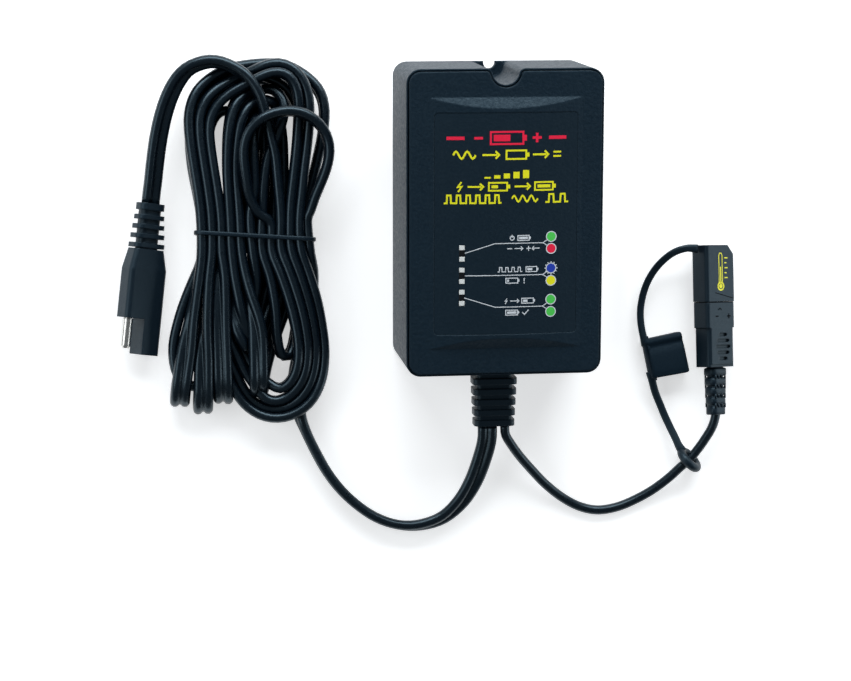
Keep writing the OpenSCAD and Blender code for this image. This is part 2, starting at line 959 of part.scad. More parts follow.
module connector_body() {
    slot_ws = [4.4, 6.8, 8, 6.6, 4.4];
    color(rubber_black)
        at_connector()
            difference() {
                union() {
                    bar(14.2, 8.2, 1.2, collar_y + 1, grip_y);
                    bar(15.4, 8.8, conn_round, mating_y, collar_y);
                    translate([0, 0, 0.4])
                        bar(12.4, 8, 0.6, collar_y, grip_y + 1);
                }
                for (k = [0 : 4])
                    translate([0.6, collar_y - 2.8 - 2.4 * k, 4.4])
                        linear_extrude(2, center = true)
                            round_rect(slot_ws[k], 1.3, 0.6);
                rod(contact_d / 2 + 1.8, -contact_pitch / 2, mating_y + 1, mating_y - contact_len - 0.6);
                rod(contact_d / 2 + 0.02, -contact_pitch / 2, mating_y, mating_y - contact_len - 4);
                rod(contact_d / 2 + contact_play + sleeve_t + 0.02, contact_pitch / 2,
                    mating_y + 1, mating_y - contact_len - 2);
            }
}

module connector_pin() {
    color(nickel)
        at_connector()
            rod(contact_d / 2, -contact_pitch / 2, mating_y - 0.6, mating_y - contact_len - 4);
}

module connector_socket() {
    color(brass)
        at_connector()
            difference() {
                rod(contact_d / 2 + contact_play + sleeve_t, contact_pitch / 2,
                    mating_y - 0.4, mating_y - contact_len - 1.9);
                rod(contact_d / 2 + contact_play, contact_pitch / 2,
                    mating_y, mating_y - contact_len - 1);
            }
}

// ---- Temperature sensor block

module sensor_housing() {
    top_y = block_y + block_len;
    color(rubber_black)
        at_connector()
            difference() {
                union() {
                    bar(block_w, block_t, conn_round, top_y, block_y);
                    rod(contact_d / 2 + 1.6, -contact_pitch / 2, block_y + 1, mating_y - contact_len);
                }
                translate([block_w / 2, top_y, 0])
                    rotate([0, 0, 40])
                        cube([6, 5.4, 20], center = true);
                translate([0, block_y + 12, -2.4])
                    cube([10.2, 14.2, 8], center = true);
                rod(contact_d / 2 + contact_play + sleeve_t + 0.02, -contact_pitch / 2,
                    block_y + 4, mating_y - contact_len - 1);
                rod(contact_d / 2 + 0.02, contact_pitch / 2, block_y + 4, block_y - 1);
            }
}

module sensor_cover() {
    color(rubber_black)
        at_connector()
            translate([0, block_y + 12, 0.6 - block_t / 2])
                cube([10, 14, 1.2], center = true);
}

module sensor_pin() {
    color(nickel)
        at_connector()
            rod(contact_d / 2, contact_pitch / 2, block_y + 4, mating_y - contact_len);
}

module sensor_socket() {
    color(brass)
        at_connector()
            difference() {
                rod(contact_d / 2 + contact_play + sleeve_t, -contact_pitch / 2,
                    block_y + 3.9, mating_y - contact_len + 0.2);
                rod(contact_d / 2 + contact_play, -contact_pitch / 2,
                    block_y + 2, mating_y - contact_len - 1);
            }
}

module thermistor() {
    color([0.15, 0.3, 0.15])
        at_connector()
            translate([0, block_y + 13, -1.2]) {
                sphere(r = 1.8);
                for (x = [-1, 1])
                    rod(0.4, x, 0, -6.5);
            }
}

// ---- Tether

module tether_ring() {
    color(rubber_black)
        translate(ring_at)
            rotate([0, 90 - ring_rise, ring_heading])
                rotate_extrude()
                    translate([ring_r, 0])
                        circle(ring_tube);
}

module tether_strap_upper() {
    color(rubber_black)
        swept_tube(upper_route, strap_w, strap_t, [for (p = upper_route) 0], 8);
}

module tether_strap_lower() {
    color(rubber_black)
        swept_tube(lower_route, strap_w + 0.4, strap_t + 0.2, [for (p = lower_route) 0], 8);
}

// The cap is a pocket, open towards its lower edge
module dust_cap() {
    color(rubber_black)
        at_cap()
            difference() {
                union() {
                    translate([0, 0, cap_t / 2])
                        bar(cap_size, cap_t, 1.6, cap_size / 2, -cap_size / 2);
                    translate([cap_rib_x, 0, cap_t / 2])
                        bar(strap_w, strap_t + 0.4, 1, cap_size / 2 + 0.5, -cap_size / 2 - 0.5);
                }
                translate([0, 0, cap_t / 2])
                    bar(cap_size - 2 * cap_wall, cap_t - 2 * cap_wall, 1, cap_size / 2 - 1.5, -cap_size);
            }
}

back_cover();
front_cover();
label_panel();
indicator_lenses();
light_diffusers();
cover_screws();
mains_blade_left();
mains_blade_right();
blade_carrier();
mains_wires();
circuit_board();
board_screws();
status_leds();
transformer_core();
transformer_bobbin();
transformer_winding();
choke_core();
choke_winding();
input_capacitor();
output_capacitors();
bridge_rectifier();
power_transistor();
heatsink();
fuse();
control_chip();
output_wires();
sensor_wires();
strain_relief();
output_lead();
output_hank();
output_tail();
cable_tie();
plug_strain_relief();
plug_body();
plug_pin();
plug_socket();
sensor_lead();
connector_boot();
connector_body();
connector_pin();
connector_socket();
tether_ring();
tether_strap_lower();
dust_cap();
tether_strap_upper();
sensor_housing();
sensor_cover();
sensor_pin();
sensor_socket();
thermistor();
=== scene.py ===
"""A car battery charger with its tied output lead and its sensor lead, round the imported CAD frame."""

import json
import math

import bpy
import numpy as np
from mathutils import Matrix, Vector, kdtree


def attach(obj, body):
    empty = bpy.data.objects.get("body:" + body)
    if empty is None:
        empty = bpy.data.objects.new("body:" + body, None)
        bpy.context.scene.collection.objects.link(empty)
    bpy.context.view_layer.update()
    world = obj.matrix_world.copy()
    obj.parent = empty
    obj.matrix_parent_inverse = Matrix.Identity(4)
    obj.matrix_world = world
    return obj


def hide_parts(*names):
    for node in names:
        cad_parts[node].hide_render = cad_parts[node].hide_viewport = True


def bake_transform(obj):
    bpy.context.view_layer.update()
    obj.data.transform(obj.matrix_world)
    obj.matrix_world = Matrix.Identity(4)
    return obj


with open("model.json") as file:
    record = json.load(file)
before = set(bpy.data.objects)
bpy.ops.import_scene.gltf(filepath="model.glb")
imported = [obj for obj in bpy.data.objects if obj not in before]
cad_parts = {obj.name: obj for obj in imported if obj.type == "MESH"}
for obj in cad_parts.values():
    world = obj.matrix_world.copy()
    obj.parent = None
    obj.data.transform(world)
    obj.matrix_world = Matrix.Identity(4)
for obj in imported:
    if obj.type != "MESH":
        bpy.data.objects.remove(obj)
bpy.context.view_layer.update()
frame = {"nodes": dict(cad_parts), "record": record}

MM = 0.001
UP = np.array((0.0, 0.0, 1.0))

# ---- The case's own frame, as the CAD tilts it: it lies on its back edge and its blades' tips

CASE_H, CASE_D = 118.0, 44.0
BLADE_LEN, BLADE_W = 16.5, 6.35
SLOT_DEPTH, SLOT_W, BLADE_DROP = 2.9, 4.7, 15.0
SLOT_Y = CASE_H - SLOT_DEPTH + SLOT_W / 2
TILT = math.atan(BLADE_LEN / (SLOT_Y - BLADE_DROP - BLADE_W / 2))
SHIFT_Y = -(CASE_H * math.cos(TILT) - CASE_D * math.sin(TILT)) / 2
GLAND_LEN, GLAND_Z = 24.8, 18.0
TWIN_X, THIN_X = -2.4, 4.6


def from_case(x, y, z):
    """A point of the case's frame in the row frame, both in millimetres."""
    return (
        x,
        y * math.cos(TILT) - z * math.sin(TILT) + SHIFT_Y,
        y * math.sin(TILT) + z * math.cos(TILT),
    )


# ---- Camera, floor and light

CAMERA_AT = (-0.1583, -0.0314, 0.9957)
CAMERA_BACK = (-0.1330, 0.0169, 0.9910)
CAMERA_RIGHT = (0.9909, -0.0209, 0.1333)


def make_camera():
    data = bpy.data.cameras.new("camera")
    data.lens = 105.8
    data.sensor_width = 36.0
    data.clip_start, data.clip_end = 0.05, 20.0
    cam = bpy.data.objects.new("camera", data)
    bpy.context.collection.objects.link(cam)
    back = Vector(CAMERA_BACK).normalized()
    up = back.cross(Vector(CAMERA_RIGHT)).normalized()
    right = up.cross(back)
    turn = Matrix((right, up, back)).transposed().to_4x4()
    cam.matrix_world = Matrix.Translation(CAMERA_AT) @ turn
    bpy.context.scene.camera = cam


def area_light(name, at, aim, size, power, tint=(1, 1, 1)):
    data = bpy.data.lights.new(name, "AREA")
    data.shape = "RECTANGLE"
    data.size, data.size_y = size
    data.energy = power
    data.color = tint
    light = bpy.data.objects.new(name, data)
    bpy.context.collection.objects.link(light)
    at, aim = Vector(at), Vector(aim)
    light.location = at
    light.rotation_mode = "QUATERNION"
    light.rotation_quaternion = (aim - at).to_track_quat("-Z", "Y")


def make_studio():
    mesh = bpy.data.meshes.new("floor")
    s = 4.0
    mesh.from_pydata([(-s, -s, 0), (s, -s, 0), (s, s, 0), (-s, s, 0)], [], [(0, 1, 2, 3)])
    floor = bpy.data.objects.new("floor", mesh)
    floor.location.z = -0.0002
    bpy.context.collection.objects.link(floor)
    mat = bpy.data.materials.new("floor_paint")
    mat.use_nodes = True
    shader = mat.node_tree.nodes["Principled BSDF"]
    shader.inputs["Base Color"].default_value = (0.9, 0.9, 0.9, 1)
    shader.inputs["Roughness"].default_value = 0.9
    shader.inputs["Emission Color"].default_value = (1, 1, 1, 1)
    shader.inputs["Emission Strength"].default_value = 0.55
    shader.inputs["Specular IOR Level"].default_value = 0.1
    mesh.materials.append(mat)
    world = bpy.data.worlds.new("world")
    world.use_nodes = True
    sky = world.node_tree.nodes["Background"]
    sky.inputs["Color"].default_value = (0.86, 0.94, 1.0, 1)
    sky.inputs["Strength"].default_value = 0.16
    bpy.context.scene.world = world
    bpy.context.scene.view_settings.view_transform = "Standard"
    tint = (0.93, 0.97, 1.0)
    area_light("top_light", (0.02, 0.75, 0.55), (0.0, 0.0, 0.02), (1.2, 0.5), 11.5, tint)
    area_light("left_light", (-0.85, 0.05, 0.60), (-0.05, 0.0, 0.02), (0.9, 0.5), 3.2, tint)
    area_light("right_light", (0.95, 0.02, 0.34), (0.03, 0.0, 0.02), (0.9, 0.4), 3.2, tint)


# ---- Mesh helpers

def add_mesh(name, points, faces, material, body="charger", smooth=True):
    """A mesh piece from points in millimetres in the row frame, riding on a body."""
    mesh = bpy.data.meshes.new(name)
    mesh.from_pydata([(x * MM, y * MM, z * MM) for x, y, z in points], [], faces)
    mesh.validate()
    obj = bpy.data.objects.new(name, mesh)
    bpy.context.collection.objects.link(obj)
    mesh.materials.append(material)
    if smooth:
        mesh.polygons.foreach_set("use_smooth", [True] * len(mesh.polygons))
    if body:
        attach(obj, body)
    return obj


def grid_faces(rows, cols, wrap=True, first=0):
    """Quads between rows of points; wrap joins the last column to the first."""
    faces = []
    for i in range(rows - 1):
        for k in range(cols if wrap else cols - 1):
            a, b = first + i * cols + k, first + i * cols + (k + 1) % cols
            faces.append((a, b, b + cols, a + cols))
    return faces


def unit_rows(v):
    return v / np.maximum(np.linalg.norm(v, axis=1, keepdims=True), 1e-12)


# ---- Cords

def smooth_path(control, step):
    """A smooth curve through rows of control values, whose first three are a place, at an even step."""
    c = np.asarray(control, float)
    ends = np.vstack([2 * c[0] - c[1], c, 2 * c[-1] - c[-2]])
    fine = []
    for i in range(len(c) - 1):
        p0, p1, p2, p3 = ends[i:i + 4]
        n = max(6, int(np.linalg.norm(p2[:3] - p1[:3]) / (0.25 * step)))
        t = np.linspace(0, 1, n, endpoint=False)[:, None]
        d = [max(np.linalg.norm(b[:3] - a[:3]), 1e-6) ** 0.5 for a, b in ((p0, p1), (p1, p2), (p2, p3))]
        m1 = (p2 - p1) + d[1] * ((p1 - p0) / d[0] - (p2 - p0) / (d[0] + d[1]))
        m2 = (p2 - p1) + d[1] * ((p3 - p2) / d[2] - (p3 - p1) / (d[1] + d[2]))
        fine.append(
            (2 * t**3 - 3 * t**2 + 1) * p1 + (t**3 - 2 * t**2 + t) * m1
            + (3 * t**2 - 2 * t**3) * p2 + (t**3 - t**2) * m2
        )
    fine = np.vstack(fine + [c[-1:]])
    far = np.concatenate([[0], np.cumsum(np.linalg.norm(np.diff(fine[:, :3], axis=0), axis=1))])
    count = int(round(far[-1] / step)) + 1
    at = np.linspace(0, far[-1], count)
    return np.column_stack([np.interp(at, far, fine[:, k]) for k in range(fine.shape[1])])


def path_length(p):
    return float(np.linalg.norm(np.diff(p[:, :3], axis=0), axis=1).sum())


def along_path(p):
    return unit_rows(np.gradient(p, axis=0))


def square_to(wide, along):
    """The wide axis, made square to the path."""
    return unit_rows(wide - along * (wide * along).sum(1, keepdims=True))


def wide_from_roll(route, rolls):
    """The wide axis of a flat cord that has turned by rolls degrees from lying flat."""
    along = along_path(np.asarray(route, float))
    side = unit_rows(np.cross(along, UP))
    up = np.cross(side, along)
    turn = np.radians(np.asarray(rolls, float))[:, None]
    return side * np.cos(turn) + up * np.sin(turn)


LOBE_R = 1.95
WEB = 0.95


def twin_section():
    """Outline of the flat twin cord: two round lobes, one of them finely ribbed, joined by a web."""
    points = []
    for side, ribbed in ((1, True), (-1, False)):
        for k in range(13):
            a = math.radians(-144 + 24 * k)
            r = LOBE_R + (0.07 if ribbed and k % 2 else 0.0)
            points.append((side * (LOBE_R + r * math.cos(a)), side * r * math.sin(a)))
        points.append((0.0, side * WEB))
    return np.array(points)


def sweep(name, path, first, second, section, material, body="charger"):
    """A closed tube: section's two numbers run along the axes first and second at each point of path."""
    rings = (
        path[:, None, :]
        + first[:, None, :] * section[None, :, 0, None]
        + second[:, None, :] * section[None, :, 1, None]
    )
    rows, cols = len(path), len(section)
    faces = grid_faces(rows, cols)
    faces.append(tuple(range(cols - 1, -1, -1)))
    faces.append(tuple((rows - 1) * cols + k for k in range(cols)))
    return add_mesh(name, rings.reshape(-1, 3).tolist(), faces, material, body)


# The hank. Upper runs pass the tie in one layer and lower runs in another, both standing on edge
UPPER_X = [-114.3 + 3.9 * k for k in range(12)]
LOWER_X = [-113.4 + 4.05 * k for k in range(11)]
UPPER_Z, LOWER_Z = 12.8, 4.3
TIE_Y = -5.6
TIE_TURN = math.radians(-4.3)
TIE_MIDDLE_X = -92.9

# The room that the tie leaves for the lobes, and how far from the tie it is felt along Y
WAIST_LEFT, WAIST_RIGHT, WAIST_TOP = -116.2, -69.6, 17.0
TIE_REACH = 9.0

# Which lower column each upper run comes back in, after the fold below the tie
LOWER_COLUMN = {5: 0, 10: 1, 9: 2, 8: 3, 7: 4, 0: 5, 1: 6, 2: 7, 3: 8, 4: 9, 6: 10}

# Folds below the tie, from the upper run to the lower run: x, y, z, and how far the cord lies flat
FOLDS_BELOW = {
    0: [(-115.8, -22, 13, 0), (-118.8, -38, 13.5, 0.3), (-121.6, -54, 13.6, 0.9), (-123.2, -65, 12.3, 1),
        (-123.6, -71.3, 7.8, 1), (-122.8, -65, 3.0, 1), (-119.5, -53, 2.3, 1), (-109.5, -36, 2.4, 0.8),
        (-97.6, -20, 3.4, 0.3)],
    1: [(-111.6, -22, 13, 0), (-113, -40, 13.8, 0.2), (-114.2, -58, 13.8, 0.8), (-114.5, -69, 12.3, 1),
        (-114.5, -74.3, 7.6, 1), (-114.2, -69, 3, 1), (-111.5, -54, 2.2, 1), (-104, -36, 2.4, 0.8),
        (-93.6, -20, 3.4, 0.3)],
    2: [(-106.8, -22, 13.4, 0.5), (-107, -40, 14, 0.9), (-106.8, -55, 13.8, 1), (-106.3, -65, 12.3, 1),
        (-106.1, -69.9, 7.6, 1), (-105.6, -64.6, 3, 1), (-102.5, -52, 2.2, 1), (-96, -36, 2.4, 0.8),
        (-88, -20, 3.4, 0.3)],
    3: [(-101.4, -22, 12, 0), (-100.6, -34, 11.5, 0.4), (-99.6, -45, 10.8, 1), (-98.8, -52, 7.6, 1),
        (-97.5, -45, 4.2, 1), (-92, -33, 3.2, 0.8), (-85, -20, 3.6, 0.3)],
    4: [(-97, -22, 13.2, 0), (-95, -38, 14, 0.4), (-93.6, -53, 13.8, 0.9), (-93.1, -63.6, 12.3, 1),
        (-93, -68.9, 7.6, 1), (-92.4, -63, 3, 1), (-89.5, -52, 2.2, 1), (-84, -36, 2.4, 0.8),
        (-78.6, -20, 3.4, 0.3)],
    5: [(-95, -20, 11.5, 0), (-98, -34, 9, 0), (-102.5, -48, 7, 0), (-109, -59, 6, 0), (-116.6, -64.6, 6, 0),
        (-123.2, -61.6, 6.4, 0), (-126.1, -51, 7.4, 0), (-123.8, -37.6, 7.5, 0), (-118.6, -22, 6, 0)],
    6: [(-88, -20, 12.5, 0), (-85.6, -34, 12, 0), (-84.6, -46, 11, 0), (-82, -54, 9, 0), (-78, -53, 7, 0),
        (-75.6, -45, 5.5, 0), (-74.4, -32, 4.5, 0), (-73, -18, 4.3, 0)],
    7: [(-84, -18, 13.6, 0), (-80.4, -29, 13.8, 0), (-78, -41, 13.6, 0), (-77.4, -51, 13, 0),
        (-79, -59.6, 12, 0), (-83, -66, 11, 0), (-88.6, -69, 9.8, 0), (-94, -66.6, 8.8, 0), (-98, -60, 8, 0),
        (-100.6, -48, 7.4, 0), (-100, -36, 7, 0), (-98, -22, 5.6, 0)],
    8: [(-80.2, -18, 13.2, 0), (-76.4, -30, 13.2, 0), (-74.1, -41, 12.8, 0), (-73.4, -52, 12, 0),
        (-75, -61, 11, 0), (-79, -67.4, 10, 0), (-85, -70.6, 9, 0), (-91.4, -69, 8.2, 0),
        (-96.6, -63.6, 7.6, 0), (-101, -54, 7.4, 0), (-103, -40, 7, 0), (-101.8, -22, 5.6, 0)],
    9: [(-76.6, -18, 12.6, 0), (-73, -30, 11.8, 0), (-70.9, -42, 11, 0), (-69.9, -52, 10, 0),
        (-71.4, -62, 9.4, 0), (-75.6, -69, 9, 0), (-82, -72.8, 8, 0), (-89, -71.6, 7.6, 0),
        (-95, -66.4, 7.6, 0), (-100.6, -57, 7.4, 0), (-105, -46, 7.2, 0), (-107, -34, 6.8, 0),
        (-106, -22, 5.6, 0)],
    10: [(-73.4, -18, 11.5, 0), (-70.6, -30, 10, 0), (-68.3, -41, 9, 0), (-67, -52, 8.6, 0),
         (-68.4, -63, 8.6, 0), (-73, -71.6, 8.4, 0), (-80.6, -75.6, 7.8, 0), (-88.6, -74.4, 7.2, 0),
         (-95.2, -69.2, 7, 0), (-101.4, -60.4, 7, 0), (-107.4, -48, 7, 0), (-110.8, -34, 6.6, 0),
         (-110, -22, 5.4, 0)],
}

# Folds above the tie, each from one run up to the other down
FOLDS_ABOVE = {
    "front": [(-69.4, 3, 14.5), (-66.9, 9.4, 15.5), (-63.7, 20, 16.6), (-62.9, 27, 17), (-63.9, 32, 17.3),
              (-66.3, 36.4, 17.6), (-70.1, 40, 18), (-74.5, 42.3, 18.2), (-80.8, 43, 18.4),
              (-88.2, 41.2, 18.4), (-92.4, 38.6, 18.3), (-95.5, 35, 18.2), (-97.4, 30, 18),
              (-97.7, 24, 17.7), (-96.5, 17, 17.2),
              (-94.6, 9, 16.2), (-91.4, 2, 14.6)],
    "outer": [(-115.3, 11, 13), (-116.6, 24, 13), (-117.8, 35, 12.8), (-117.9, 42, 12.4),
              (-115.4, 50.2, 11.4), (-110.4, 55.4, 10.2), (-103.6, 59, 9), (-95.5, 60.6, 8),
              (-87, 61.2, 7.6), (-79.5, 60.8, 7.8),
              (-71.8, 56.4, 8.6), (-67.2, 52.2, 8.8), (-64.9, 47, 8.8), (-64.5, 41.2, 8.6), (-65.3, 34, 8),
              (-67, 26, 7), (-69.2, 17, 5.6), (-71.6, 8, 4.6)],
    "second": [(-111.6, 11, 13), (-113, 24, 13), (-114, 35, 12.8), (-113.6, 42, 12.4), (-110.6, 48.6, 11.8),
               (-105.4, 53, 11), (-99, 56, 10.8), (-94.4, 57.6, 11), (-90.8, 59.4, 11.8), (-86.9, 61.2, 12.4),
               (-82.5, 61.9, 12.9), (-78.1, 60.5, 13.1), (-74.3, 57, 13.2), (-71.9, 52.4, 13.2),
               (-70.7, 46.8, 13.1), (-70.8, 40, 13), (-71.8, 30.7, 13), (-73.5, 19.7, 13),
               (-74.6, 8.6, 12.9)],
    "third": [(-107.6, 11, 13), (-109.4, 24, 13), (-110.2, 34, 12.8), (-109.6, 40, 12.6),
              (-106.4, 45.6, 12.2), (-101.4, 49.6, 12), (-96, 52.6, 12.2), (-91.4, 55.4, 13),
              (-87.1, 57.6, 14), (-82.6, 58.6, 14.6), (-79.2, 57.8, 14.8), (-76.6, 55.2, 14.8),
              (-75, 50.8, 14.6), (-74.6, 45.6, 14.4), (-75, 38, 14),
              (-76, 27.3, 13.6), (-77.4, 16.3, 13.2), (-78.6, 8, 13)],
    "upright": [(-97.4, 12, 4.6), (-94, 26, 5), (-90.4, 39, 6.4), (-89.6, 47.4, 8.2), (-93.8, 52, 10.2),
                (-99.4, 48.4, 12), (-102.4, 38, 13), (-103.2, 24, 13.2), (-102.8, 11, 13.2)],
    "inner": [(-98.6, 12, 13), (-98, 28, 12.5), (-95, 41, 11), (-89.4, 47.6, 8.6), (-84, 46.6, 6.4),
              (-81.6, 37, 5.2), (-81.4, 22, 4.5)],
    "under": [(-77, 12, 4.3), (-74.4, 28, 4.2), (-74, 42, 4.2), (-79.4, 52, 4.2), (-90, 56.4, 4),
              (-103, 55.4, 4), (-111.4, 49, 4), (-116, 38, 4), (-116.6, 24, 4.1), (-115, 10, 4.2)],
    "middle": [(-94, 14, 12.8), (-93, 28, 12.6), (-91.2, 41, 10.6), (-89.6, 44.6, 7.4), (-89.2, 38, 4.8),
               (-89, 24, 4.4), (-88.8, 12, 4.3)],
    "low_wide": [(-106.8, 12, 4.3), (-109.5, 27, 4.3), (-108.4, 39, 4.3), (-102.4, 45, 4.3), (-96, 40, 4.3),
                 (-93.2, 28, 4.3), (-92.8, 14, 4.3)],
    "low_left": [(-111.6, 12, 4.3), (-114.4, 28, 4.3), (-113.4, 42, 4.3), (-106.6, 50.4, 4.3),
                 (-97.4, 50.6, 4.4), (-90, 44, 4.6), (-86, 31, 4.4), (-84.4, 15, 4.3)],
    "last": [(-90.2, 12, 13), (-87, 26, 12.6), (-83, 38, 11.6), (-82.6, 47, 10), (-87.6, 51.4, 8.2),
             (-95.4, 48, 6.4), (-101.2, 36, 5), (-102.2, 22, 4.5), (-101.4, 10, 4.3)],
}

LEAD_EXIT = from_case(TWIN_X, -GLAND_LEN - 0.1, GLAND_Z)
LEAD_ROUTE = [
    LEAD_EXIT, (LEAD_EXIT[0] - 0.1, LEAD_EXIT[1] - 6, LEAD_EXIT[2] - 1),
    (-4.2, -95.4, 10.8), (-8, -105.6, 8.4), (-13.2, -113.6, 6.6), (-20.4, -119.6, 5.2), (-30, -122.2, 4.4),
    (-38.4, -121.6, 4), (-46.8, -118.4, 4), (-54, -113.4, 4), (-60.5, -107.1, 4), (-66, -99.6, 4),
    (-70.4, -91.4, 4), (-73.8, -84, 4.2), (-76.4, -77, 4.6),
]
LEAD_ROLLS = [0, 0, 8, 22, 40, 60, 76, 86, 90, 90, 90, 90, 90, 90, 80]
LEAD_UP = [(-77.8, -68, 3.6, 0.5), (-76.8, -54, 3.4, 0.5), (-73, -38, 4.6, 0.3), (-70.8, -22, 8.4, 0.1)]

PLUG_W, PLUG_T, PLUG_ROUND = 17.0, 8.6, 2.0
PLUG_ROLL = math.radians(32)
PLUG_AT = (
    -133.4, 8.0,
    (PLUG_W / 2 - PLUG_ROUND) * math.sin(PLUG_ROLL) + (PLUG_T / 2 - PLUG_ROUND) * math.cos(PLUG_ROLL)
    + PLUG_ROUND,
)
TAIL_UP = [(-83.4, 6, 13, 0), (-84.6, 18, 13, 0), (-86, 30, 13.2, 0), (-87.6, 38, 13.8, 0.05)]
TAIL_ROUTE = [
    (-89.3, 43.8, 14.4), (-91.4, 50.4, 15), (-95.2, 56.4, 15.4), (-101.2, 60.8, 15.4), (-108.9, 62.8, 14.8),
    (-117.2, 60.4, 13.4), (-121.4, 56.3, 13), (-124.8, 50.4, 12.4), (-127.6, 42.8, 11.6),
    (-129.8, 33.6, 10.6), (-131.3, 24, 9.4), (-132.3, 16, 8.2),
    (PLUG_AT[0] + 0.6, PLUG_AT[1] + 4.6, PLUG_AT[2]), (PLUG_AT[0] + 0.02, PLUG_AT[1] + 0.15, PLUG_AT[2]),
]
TAIL_ROLLS = [84, 84, 82, 80, 74, 62, 46, 38, 34, 32, 32, 32, 32, 32]


def wide_of(flat):
    """The wide axis of a run of the hank, from standing on edge (0) to lying flat (1)."""
    a = flat * math.pi / 2
    return (math.sin(a), 0.0, math.cos(a))


def hank_controls():
    """Control rows of the whole hank: place and wide axis."""
    rows = []

    def add(points, back=False):
        for p in (reversed(points) if back else points):
            rows.append((*p[:3], *wide_of(p[3] if len(p) > 3 else 0.0)))

    def upper(k, down):
        near = [(UPPER_X[k], TIE_Y + 6, UPPER_Z, 0), (UPPER_X[k], TIE_Y - 6, UPPER_Z, 0)]
        add(near if down else near[::-1])

    def lower(k, down):
        x = LOWER_X[LOWER_COLUMN[k]]
        near = [(x, TIE_Y + 6, LOWER_Z, 0), (x, TIE_Y - 6, LOWER_Z, 0)]
        add(near if down else near[::-1])

    def below_in(k):
        """Down an upper run, round its fold, and up its lower run."""
        upper(k, True)
        add(FOLDS_BELOW[k])
        lower(k, False)

    def below_out(k):
        """Down a lower run, round its fold, and up its upper run."""
        lower(k, True)
        add(FOLDS_BELOW[k], back=True)
        upper(k, False)

    upper(11, False)
    add(FOLDS_ABOVE["front"])
    below_in(7)
    add(FOLDS_ABOVE["upright"])
    below_in(3)
    add(FOLDS_ABOVE["inner"], back=True)
    below_in(4)
    add(FOLDS_ABOVE["under"])
    below_out(5)
    add(FOLDS_ABOVE["middle"])
    below_out(1)
    add(FOLDS_ABOVE["second"])
    below_in(10)
    add(FOLDS_ABOVE["low_left"])
    below_out(2)
    add(FOLDS_ABOVE["third"])
    below_in(9)
    add(FOLDS_ABOVE["low_wide"])
    below_out(0)
    add(FOLDS_ABOVE["outer"])
    below_out(6)
    add(FOLDS_ABOVE["last"])
    below_out(8)
    return rows


def one_way(rows):
    """The same rows, with no wide axis turned against the one before it."""
    rows = np.array(rows, float)
    for i in range(1, len(rows)):
        if rows[i, 3:] @ rows[i - 1, 3:] < -1e-6:
            rows[i, 3:] *= -1
    return rows


def blur(rows, times):
    """The same rows, each drawn towards its two neighbours, the ends held."""
    for _ in range(times):
        rows[1:-1] = (rows[:-2] + 2 * rows[1:-1] + rows[2:]) / 4
    return rows


CORD_STEP = 2.4
NEXT_RINGS = 5
ROUNDS, ROUNDS_PER_TREE = 90, 10
HEAVY_Z, HEAVY_SHARE = 11, 0.35


def settle(path, wide, free):
    """Pushes a flat twin cord's lobes out of each other, off the floor and into the tie.

    free is 0 where the path is held and 1 where it may move. Moves are smoothed, so curves stay long.
    Rings no more than NEXT_RINGS apart are neighbours, and may touch. High runs move less than low ones.
    """
    n = len(path)
    start, start_wide = path.copy(), square_to(wide, along_path(path))
    moved, turned = np.zeros_like(path), np.zeros_like(path)
    heavy = np.tile(np.where(start[:, 2] > HEAVY_Z, HEAVY_SHARE, 1.0), 2)
    pairs = None
    for step in range(ROUNDS):
        path = start + moved
        wide = square_to(start_wide + turned, along_path(path))
        lobes = np.vstack([path + wide * LOBE_R, path - wide * LOBE_R])
        if step % ROUNDS_PER_TREE == 0:
            tree = kdtree.KDTree(2 * n)
            for i, p in enumerate(lobes):
                tree.insert(p, i)
            tree.balance()
            pairs = np.array([
                (i, j) for i, p in enumerate(lobes) for _, j, _ in tree.find_range(p, 3.0 * LOBE_R)
                if j > i and abs(j % n - i % n) > NEXT_RINGS
            ])
        gap = lobes[pairs[:, 1]] - lobes[pairs[:, 0]]
        dist = np.maximum(np.linalg.norm(gap, axis=1), 1e-6)
        push = np.maximum(2 * LOBE_R - 0.05 - dist, 0)[:, None] * gap / dist[:, None] * 0.4
        move = np.zeros_like(lobes)
        np.add.at(move, pairs[:, 0], -push * heavy[pairs[:, 0], None])
        np.add.at(move, pairs[:, 1], push * heavy[pairs[:, 1], None])
        move[:, 2] += 0.8 * np.maximum(LOBE_R - lobes[:, 2], 0)
        from_tie = lobes[:, 1] - TIE_Y - math.tan(TIE_TURN) * (lobes[:, 0] - TIE_MIDDLE_X)
        near = np.exp(-(from_tie / TIE_REACH) ** 2)
        move[:, 2] -= 0.7 * near * np.maximum(lobes[:, 2] - (WAIST_TOP - LOBE_R), 0)
        move[:, 0] += 0.7 * near * np.maximum(WAIST_LEFT + LOBE_R - lobes[:, 0], 0)
        move[:, 0] -= 0.7 * near * np.maximum(lobes[:, 0] - (WAIST_RIGHT - LOBE_R), 0)
        moved = blur(moved + (move[:n] + move[n:]) / 2 * free[:, None], 1) * np.minimum(1, 3 * free[:, None])
        turned = blur(turned + 0.3 * (move[:n] - move[n:]) / (2 * LOBE_R) * free[:, None], 2)
    path = start + moved
    path[:, 2] += np.maximum(0, LOBE_R + np.abs(wide[:, 2]) * LOBE_R - path[:, 2]) * free
    path = path * (1 - free[:, None]) + blur(path.copy(), 2) * free[:, None]
    return path, square_to(wide, along_path(path))


# How much of the lead and the tail, next to the hank, may move, and the length over which they ease into it
LEAD_FREE, TAIL_FREE, EASE = 6, 26, 25


